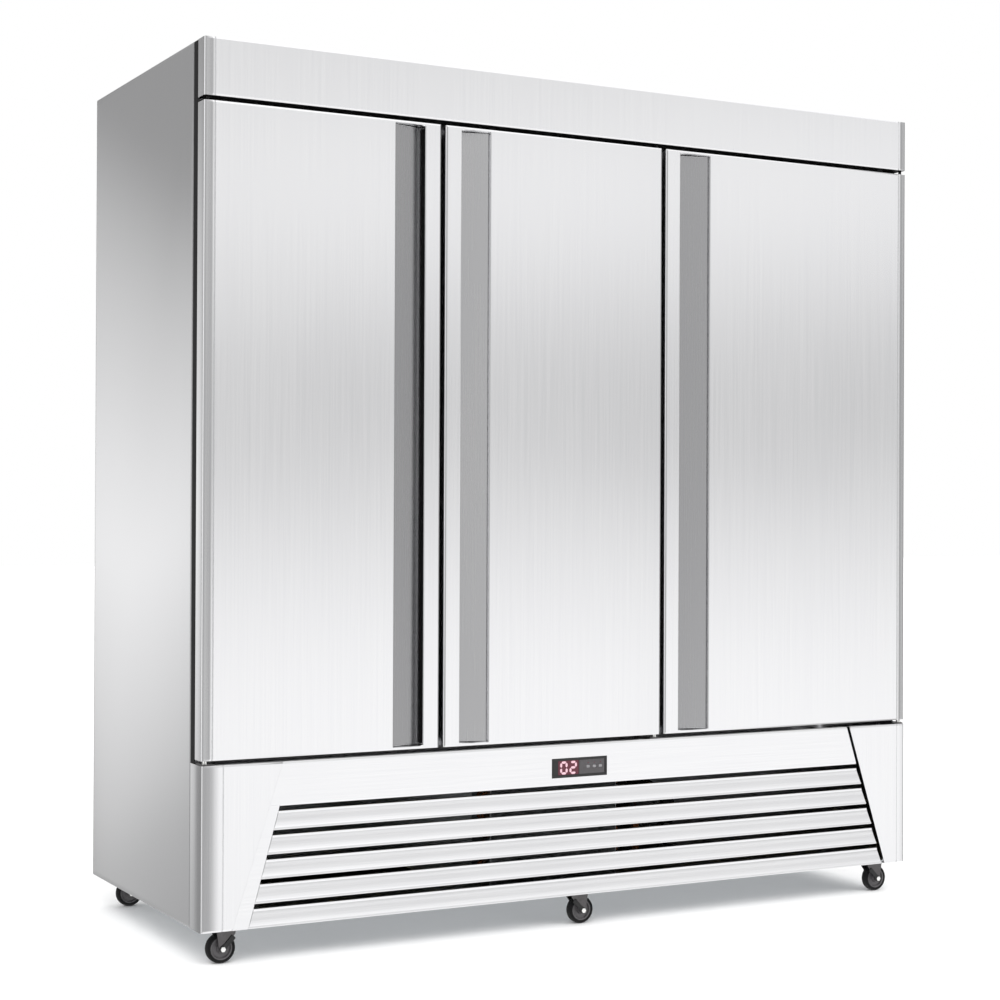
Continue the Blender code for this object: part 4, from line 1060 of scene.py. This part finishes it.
def build_lamp():
    """A light bar along the ceiling behind the face frame: base, half-round cover and two ends."""
    ceiling = box_of("evaporator_cover")[1][2] - 0.3 * MM
    y = box_of("face_frame")[1][1] + 14 * MM
    base = [(y + a, ceiling + b) for a, b in mm((-9, 0), (-9, -5), (9, -5), (9, 0))]
    base = carried(base, [-LAMP_HALF, LAMP_HALF], "x")
    make_piece("lamp_base", "cabinet", LINER_WHITE, [base], bevel=0.6 * MM)
    half_round = bend((y, ceiling - 5.2 * MM), 8 * MM, 180, 360, 12)
    inner = LAMP_HALF - LAMP_END
    make_piece("lamp_cover", "cabinet", DIFFUSER, [carried(half_round, [-inner, inner], "x")])
    ends = [carried(half_round, sorted((side * inner, side * LAMP_HALF)), "x") for side in (-1, 1)]
    make_piece("lamp_ends", "cabinet", LINER_WHITE, ends)


def build_spout():
    """A short spout under the evaporator cover, for the drain water."""
    low, high = box_of("evaporator_cover")
    outlet = (high[0] - 90 * MM, high[1] - 60 * MM, low[2] - 0.2 * MM)
    spout = turned(mm((5, 0), (8, 0), (8, -16), (5, -16)), outlet, "z", 16, True)
    make_piece("drain_spout", "cabinet", LINER_WHITE, [spout])


# ---------------------------------------------------------------- machine compartment

COIL_DEEP = 60 * MM
MOUTH = 110 * MM  # radius of the shroud's round mouth


def build_condenser():
    """The condenser: close fins between two end plates, hairpin tubes, its fan, shroud, guard and motor."""
    low, high = box_of("condenser_coil")
    fin_back = low[1] + COIL_DEEP
    fin = block((-0.3 * MM, low[1] + 2 * MM, low[2] + 3 * MM),
                (0.3 * MM, fin_back - 2 * MM, high[2] - 3 * MM))
    fins = copies(fin, [(x, 0, 0) for x in np.arange(low[0] + 8 * MM, high[0] - 6 * MM, 4.2 * MM)])
    make_piece("condenser_fins", "cabinet", FINS, fins, ["condenser_coil"])
    centre, _ = build_fan("condenser_fan", ENAMEL)
    build_shroud(low, high, centre)
    guard = wire_guard(centre, MOUTH + 2 * MM, high[1] + 2.5 * MM, 8, 4, 1.2 * MM)
    can = mm((0, 0), (26, 0), (29, 4), (29, 40), (24, 46), (0, 46))
    motor = turned(can, (centre[0], high[1] + 6 * MM, centre[2]), "y")
    for angle in np.radians((30, 150, 270)):
        out = np.array([math.cos(angle), 0, math.sin(angle)])
        middle = np.array([centre[0], high[1], centre[2]])
        foot, knee = (middle + out * 118 * MM + (0, y, 0) for y in (1 * MM, 20 * MM))
        hip = middle + out * 26 * MM + (0, 22 * MM, 0)
        leg = smooth_path([foot, knee * 0.5 + foot * 0.5, knee * 0.85 + hip * 0.15, hip], 6)
        guard.append(tube(leg, 2.4 * MM, up=(0.3, 0.2, 1)))
    make_piece("condenser_guard", "cabinet", ZINC, guard)
    make_piece("condenser_motor", "cabinet", ENAMEL, [motor])
    hairpins = []
    levels = np.linspace(low[2] + 16 * MM, high[2] - 16 * MM, 12)
    for index, (a, b) in enumerate(zip(levels[:-1], levels[1:])):
        end, out = ((high[0] - 3 * MM, 1), (low[0] + 3 * MM, -1))[index % 2]
        for y in (low[1] + 18 * MM, low[1] + 42 * MM):
            bow = half_turn(end + out * 3 * MM, out, y, a, b)
            hairpins.append(tube([(end, y, a), *bow, (end, y, b)], 4.2 * MM, up=(0, 1, 0)))
    make_piece("condenser_hairpins", "cabinet", COPPER, hairpins)


def build_shroud(low, high, centre):
    """The end plates, and a shroud that runs from its square edge in to a round mouth with a bell lip."""
    fin_back = low[1] + COIL_DEEP
    ends = (low[0] + 3 * MM, high[0] - 3 * MM)
    plates = [block((x - 1 * MM, low[1], low[2]), (x + 1 * MM, fin_back, high[2])) for x in ends]
    lip = [(MOUTH + out, level) for out, level in mm((0, -18), (1.2, -18), (1.2, 14), (5, 19.5), (4, 20),
                                                     (0, 15))]
    bell = turned(lip, (centre[0], fin_back + 20 * MM, centre[2]), "y", 48, True)
    middle = centre[[0, 2]]
    square = round_rectangle((low[0] + 2 * MM, low[2] + 1 * MM), (high[0] - 2 * MM, high[2] - 1 * MM), 8 * MM,
                             11)
    angle = np.arctan2(square[:, 1] - middle[1], square[:, 0] - middle[0])
    circle = middle + (MOUTH + 1 * MM) * np.stack([np.cos(angle), np.sin(angle)], 1)
    inner = square + (middle - square) * 0.012
    start, back, wall = fin_back - 4 * MM, high[1], 1.2 * MM
    rings = [(square, start), (square, back), (circle, back), (circle, back - wall), (inner, back - wall),
             (inner, start)]
    shroud = stack([np.column_stack([flat[:, 0], np.full(len(flat), y), flat[:, 1]]) for flat, y in rings],
                   closed=True)
    make_piece("condenser_shroud", "cabinet", ZINC_SHEET, plates + [bell, shroud])


SHELL = 85 * MM  # radius of the compressor's shell
INLET_Y, INLET_Z = 0.378, 0.452  # where both pipes go up into the insulated body


def build_compressor():
    """The welded compressor shell with its base, grommets, bolts and terminal box."""
    low, high = box_of("compressor")
    x, y, floor = (low[0] + high[0]) / 2, (low[1] + high[1]) / 2, low[2]
    tall = high[2] - floor
    lower = [(0, 16 * MM), (SHELL * 0.55, 17 * MM), (SHELL * 0.85, 26 * MM), (SHELL * 0.97, 42 * MM),
             (SHELL, 60 * MM)]
    weld = SHELL + 3.5 * MM
    seam = [(SHELL, tall * 0.46), (weld, tall * 0.465), (weld, tall * 0.495), (SHELL, tall * 0.50)]
    up = np.radians(np.linspace(0, 90, 12))
    dome = list(zip(SHELL * np.cos(up), tall * 0.62 + tall * 0.38 * np.sin(up)))
    shell = turned(lower + seam + dome, (x, y, floor), "z", 56)
    rim = mm((0, 12), (0, 15), (1, 16), at=(0, floor))
    base = around((x - 78 * MM, y - 62 * MM), (x + 78 * MM, y + 62 * MM), rim, 22 * MM, "z")
    make_piece("compressor_shell", "cabinet", ENAMEL, [shell, base], ["compressor"], sharp=40)
    spots = [(x + a * 64 * MM, y + b * 48 * MM, 0) for a in (-1, 1) for b in (-1, 1)]
    grommet = mm((0, 0), (13, 0), (13, 4), (10, 5.5), (13, 7), (13, 11.8), (0, 11.8))
    grommet = turned(grommet, (0, 0, floor + 0.1 * MM), "z", 20)
    make_piece("compressor_grommets", "cabinet", VINYL, copies(grommet, spots))
    bolt = turned(mm((0, 0), (6, 0), (6, 4), (3, 4.4), (3, 10), (0, 10)), (0, 0, floor + 16.2 * MM), "z", 6)
    make_piece("compressor_bolts", "cabinet", ZINC, copies(bolt, spots))
    side = x + SHELL - 6 * MM
    rim = mm((0, 0), (0, 34), (2, 38), (5, 40), at=(0, side))
    cap = around((y - 30 * MM, floor + 62 * MM), (y + 30 * MM, floor + 132 * MM), rim, 6 * MM, "x")
    make_piece("compressor_terminal_box", "cabinet", ABS_BLACK, [cap])
    build_pipes(np.array([x, y, floor]))


def build_pipes(foot):
    """The discharge pipe to the coil, the line through the filter drier, and the suction pipe back."""
    coil_low, coil_high = box_of("condenser_coil")
    end, lowest, highest = coil_high[0] - 3 * MM, coil_low[2] + 16 * MM, coil_high[2] - 16 * MM
    start = foot + (-SHELL * 0.94, -24 * MM, 70 * MM)
    y = coil_low[1] + 42 * MM
    route = [start, start + (-30 * MM, -6 * MM, 0), start + (-62 * MM, -40 * MM, 60 * MM),
             (end + 63 * MM, y + 60 * MM, highest - 30 * MM), (end + 37 * MM, y + 8 * MM, highest),
             (end, y, highest)]
    pipes = [tube(smooth_path(route), 3.2 * MM, 10, up=(0.2, 0.3, 1))]
    x, y = end + 73 * MM, coil_low[1] + 20 * MM
    route = [(end, y - 2 * MM, lowest), (end + 29 * MM, y - 2 * MM, lowest),
             (x - 14 * MM, y, lowest + 6 * MM),
             (x, y, lowest + 30 * MM)]
    pipes.append(tube(smooth_path(route), 2.6 * MM, 10, up=(0.2, 1, 0.3)))
    can = mm((2.8, 0), (6, 4), (11, 12), (11, 88), (6, 96), (2.8, 100))
    drier = turned(can, (x, y, lowest + 28 * MM), "z", 24)
    route = [(x, y, lowest + 126 * MM), (x, y + 10 * MM, lowest + 170 * MM),
             (x + 60 * MM, 0.24, lowest + 240 * MM),
             (x + 90 * MM, 0.35, 0.40), (x + 90 * MM, INLET_Y, INLET_Z)]
    pipes.append(tube(smooth_path(route), 1.8 * MM, up=(1, 0.2, 0.1)))
    x = foot[0] - 60 * MM
    route = [foot + (-20 * MM, SHELL * 0.9, 92 * MM), foot + (-30 * MM, SHELL + 30 * MM, 100 * MM),
             (x, 0.34, 0.32),
             (x, INLET_Y, INLET_Z)]
    pipes.append(tube(smooth_path(route), 4.8 * MM, 10, up=(1, 0.2, 0.1)))
    make_piece("refrigerant_pipes", "cabinet", COPPER, pipes)
    make_piece("filter_drier", "cabinet", COPPER, [drier])


TRAY_LOW, TRAY_HIGH = (-0.72, -0.12), (-0.34, 0.16)


def build_tray():
    """A shallow tray that catches the drain water and dries it on the warm side of the condenser."""
    floor = box_of("compressor")[0][2]
    section = mm((0, 0.2), (0, 38), (5, 40), (6, 38), (7, 4), (12, 2))
    tray = around(TRAY_LOW, TRAY_HIGH, [(inset, floor + level) for inset, level in section], 14 * MM, "z")
    make_piece("drain_tray", "cabinet", ABS_BLACK, [tray])


# ---------------------------------------------------------------- the part's own nodes

# The nodes that no finer piece stands for, by how their names begin.
PART_FINISHES = (
    (BRUSHED, "face_frame"), (ZINC_SHEET, "base_plate"), (FOAM, "insulation_foam"),
    # The hinge rail is black as painted shade in the seam under the header.
    (BLACK_PAINTED_SHADE, "top_hinge_rail"),
    (LINER_WHITE, "inner_liner"), (LINER_WHITE, "evaporator_cover"), (DARK_ZINC, "hinge_bracket"),
    (ABS_BLACK, "controller_housing"),
)


def finish_part_nodes():
    """Gives the part's own nodes their finishes, in every material slot they have."""
    for material, start in PART_FINISHES:
        for name in [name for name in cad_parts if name.startswith(start)]:
            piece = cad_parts[name]
            if not piece.material_slots:
                piece.data.materials.append(material)
            for held in piece.material_slots:
                held.material = material


# ---------------------------------------------------------------- stage

# Brightness of the studio by height in degrees, where the doors and where the left side look.
FRONT_PROFILE = [
    (-16, 1.20), (-9, 1.25), (-5.5, 1.30), (-3.0, 1.20), (-0.5, 1.01), (1.0, 0.80), (2.6, 0.63),
    (4.2, 0.70), (5.6, 0.90), (7.0, 1.07), (8.8, 1.22), (10.4, 1.28), (11.6, 0.95), (13, 0.90), (24, 1.0),
]
SIDE_PROFILE = [
    (-16, 0.47), (-11, 0.57), (-8.5, 0.74), (-6, 0.86), (-3.5, 0.96), (-0.6, 1.08), (2.3, 0.98),
    (5.2, 0.84), (7.8, 0.72), (10, 0.59), (13, 0.37), (24, 0.35),
]
# Brightness by direction round the cabinet in degrees, from the doors' outlook towards its right.
ROUND_PROFILE = [
    (-180, 0.6), (-146, 0.35), (-128, 0.28), (-112, 0.9), (-96, 1.3), (-66, 1.3), (-50, 0.52), (2, 0.50),
    (48, 0.48), (60, 0.40), (78, 0.24), (110, 0.22), (140, 0.6), (180, 0.6),
]
FRONT_SHARE = [(-180, 0), (3, 0), (15, 1), (46, 1), (58, 0), (180, 0)]
SIDE_SHARE = [(-180, 1), (-150, 1), (-142, 0), (150, 0), (172, 1), (180, 1)]
LOWEST, HIGHEST = -16, 24  # the height profiles run between these angles
ZENITH, NADIR = 1.45, 1.3  # brightness straight above and below
BRIGHTEST = 1.6  # a ramp holds colours up to 1, so brightness is stored over this


def ramp(tree, factor, stops, start, stop, scale=1.0):
    """A colour ramp of greys over an angle from start to stop. Each of its stops is (angle, brightness)."""
    made = add(tree, "ShaderNodeValToRGB", {"Fac": factor})
    elements = made.color_ramp.elements
    while len(elements) < len(stops):
        elements.new(0.5)
    for element, (angle, value) in zip(elements, stops):
        element.position = (angle - start) / (stop - start)
        element.color = (value / scale,) * 3 + (1,)
    return made, 0


def build_studio():
    """A white studio whose brightness depends on direction alone."""
    world = bpy.data.worlds.new("white studio")
    bpy.context.scene.world = world
    world.use_nodes = True
    tree = world.node_tree
    tree.nodes.clear()
    where = add(tree, "ShaderNodeTexCoord")
    parts = add(tree, "ShaderNodeSeparateXYZ", {0: (where, "Generated")})
    rise = add(tree, "ShaderNodeMath", {0: (parts, "Z")}, operation="ARCSINE")
    minus = add(tree, "ShaderNodeMath", {0: (parts, "Y"), 1: -1.0}, operation="MULTIPLY")
    swing = add(tree, "ShaderNodeMath", {0: (parts, "X"), 1: (minus, 0)}, operation="ARCTAN2")

    def share(angle, start, stop):
        """How far an angle has gone from start to stop, in degrees."""
        limits = {"Value": (angle, 0), "From Min": math.radians(start), "From Max": math.radians(stop)}
        return add(tree, "ShaderNodeMapRange", limits, clamp=True), 0

    def blend(amount, first, second):
        """A mix of two colours by amount."""
        return add(tree, "ShaderNodeMix", {"Factor": amount, 6: first, 7: second}, data_type="RGBA"), 2

    height, bearing = share(rise, LOWEST, HIGHEST), share(swing, -180, 180)
    front, side = (ramp(tree, height, p, LOWEST, HIGHEST, BRIGHTEST) for p in (FRONT_PROFILE, SIDE_PROFILE))
    grey = ramp(tree, bearing, ROUND_PROFILE, -180, 180, BRIGHTEST)
    front_share, side_share = (ramp(tree, bearing, p, -180, 180) for p in (FRONT_SHARE, SIDE_SHARE))
    colour = blend(side_share, blend(front_share, grey, front), side)
    colour = blend(share(rise, 20, 38), colour, (ZENITH / BRIGHTEST,) * 3 + (1,))
    colour = blend(share(rise, -18, -34), colour, (NADIR / BRIGHTEST,) * 3 + (1,))
    lit = add(tree, "ShaderNodeBackground", {0: colour, "Strength": BRIGHTEST})
    plain = add(tree, "ShaderNodeBackground", {"Color": (1, 1, 1, 1), "Strength": 1.0})
    ray = add(tree, "ShaderNodeLightPath")
    choose = add(tree, "ShaderNodeMixShader", {0: (ray, "Is Camera Ray"), 1: (lit, 0), 2: (plain, 0)})
    add(tree, "ShaderNodeOutputWorld", {0: (choose, 0)})


def build_floor():
    """A plain white floor. It is left out of reflections, so that the studio alone shows in the steel."""
    span = 30.0
    mesh = bpy.data.meshes.new("floor")
    mesh.from_pydata([(-span, -span, 0), (span, -span, 0), (span, span, 0), (-span, span, 0)], [],
                     [(0, 1, 2, 3)])
    floor = bpy.data.objects.new("floor", mesh)
    bpy.context.scene.collection.objects.link(floor)
    material = bpy.data.materials.new("matt white floor paint")
    material.use_nodes = True
    tree = material.node_tree
    shader = tree.nodes["Principled BSDF"]
    where = add(tree, "ShaderNodeTexCoord")
    speck = add(tree, "ShaderNodeTexNoise", {"Vector": (where, "Object"), "Scale": 30.0})
    tints = {"Factor": (speck, 0), 6: tone("FBFBFB"), 7: tone("F8F8F8")}
    tint = add(tree, "ShaderNodeMix", tints, data_type="RGBA")
    tree.links.new(tint.outputs[2], shader.inputs["Base Color"])
    shader.inputs["Roughness"].default_value = 0.9
    shader.inputs["Specular IOR Level"].default_value = 0.0
    clear = add(tree, "ShaderNodeBsdfTransparent")
    ray = add(tree, "ShaderNodeLightPath")
    choose = add(tree, "ShaderNodeMixShader", {0: (ray, "Is Glossy Ray"), 1: (shader, 0), 2: (clear, 0)})
    tree.links.new(choose.outputs[0], tree.nodes["Material Output"].inputs[0])
    mesh.materials.append(material)


def build_camera():
    """The camera stands to the left of the cabinet at half its height, with a normal lens."""
    data = bpy.data.cameras.new("camera")
    data.lens, data.sensor_width = 70.9, 36.0
    camera = bpy.data.objects.new("camera", data)
    bpy.context.scene.collection.objects.link(camera)
    camera.location = (-2.557, -4.668, 1.049)
    camera.rotation_mode = "XYZ"
    yaw, pitch, roll = math.radians(28.45), math.radians(0.27), math.radians(0.25)
    facing = Matrix.Rotation(-yaw, 4, "Z") @ Matrix.Rotation(math.pi / 2 + pitch, 4, "X")
    camera.matrix_world = Matrix.Translation(camera.location) @ facing @ Matrix.Rotation(roll, 4, "Z")
    bpy.context.scene.camera = camera


def build_lights():
    """Two large soft boxes, high in front, that light the matt pieces and show in no reflection."""
    for name, place, aim, size, power in (
        ("key", (-2.6, -3.4, 3.4), (0, 0, 0.9), 2.4, 90),
        ("fill", (3.0, -2.6, 2.6), (0, 0, 0.6), 2.4, 45),
    ):
        data = bpy.data.lights.new(name, "AREA")
        data.size, data.energy = size, power
        lamp = bpy.data.objects.new(name, data)
        bpy.context.scene.collection.objects.link(lamp)
        lamp.location = place
        lamp.rotation_euler = (Vector(aim) - Vector(place)).to_track_quat("-Z", "Y").to_euler()
        lamp.visible_glossy = False


# ---------------------------------------------------------------- making it

for door in HINGED_LEFT:
    build_door(door)
build_header()
build_seam_shade_trims()
build_lower_panel("left")
build_lower_panel("right")
build_grille()
for hand in ("left", "right"):
    build_side(hand)
build_top()
build_back()
build_controller()
build_hinge_details()
for corner in CASTERS:
    build_caster(corner)
for corner in BRAKED:
    build_pedal(corner)
build_shelves()
build_uprights()
build_clips()
build_evaporator()
build_lamp()
build_spout()
build_condenser()
build_compressor()
build_tray()
finish_part_nodes()
build_studio()
build_floor()
build_camera()
build_lights()
bpy.context.scene.view_settings.view_transform = "Standard"
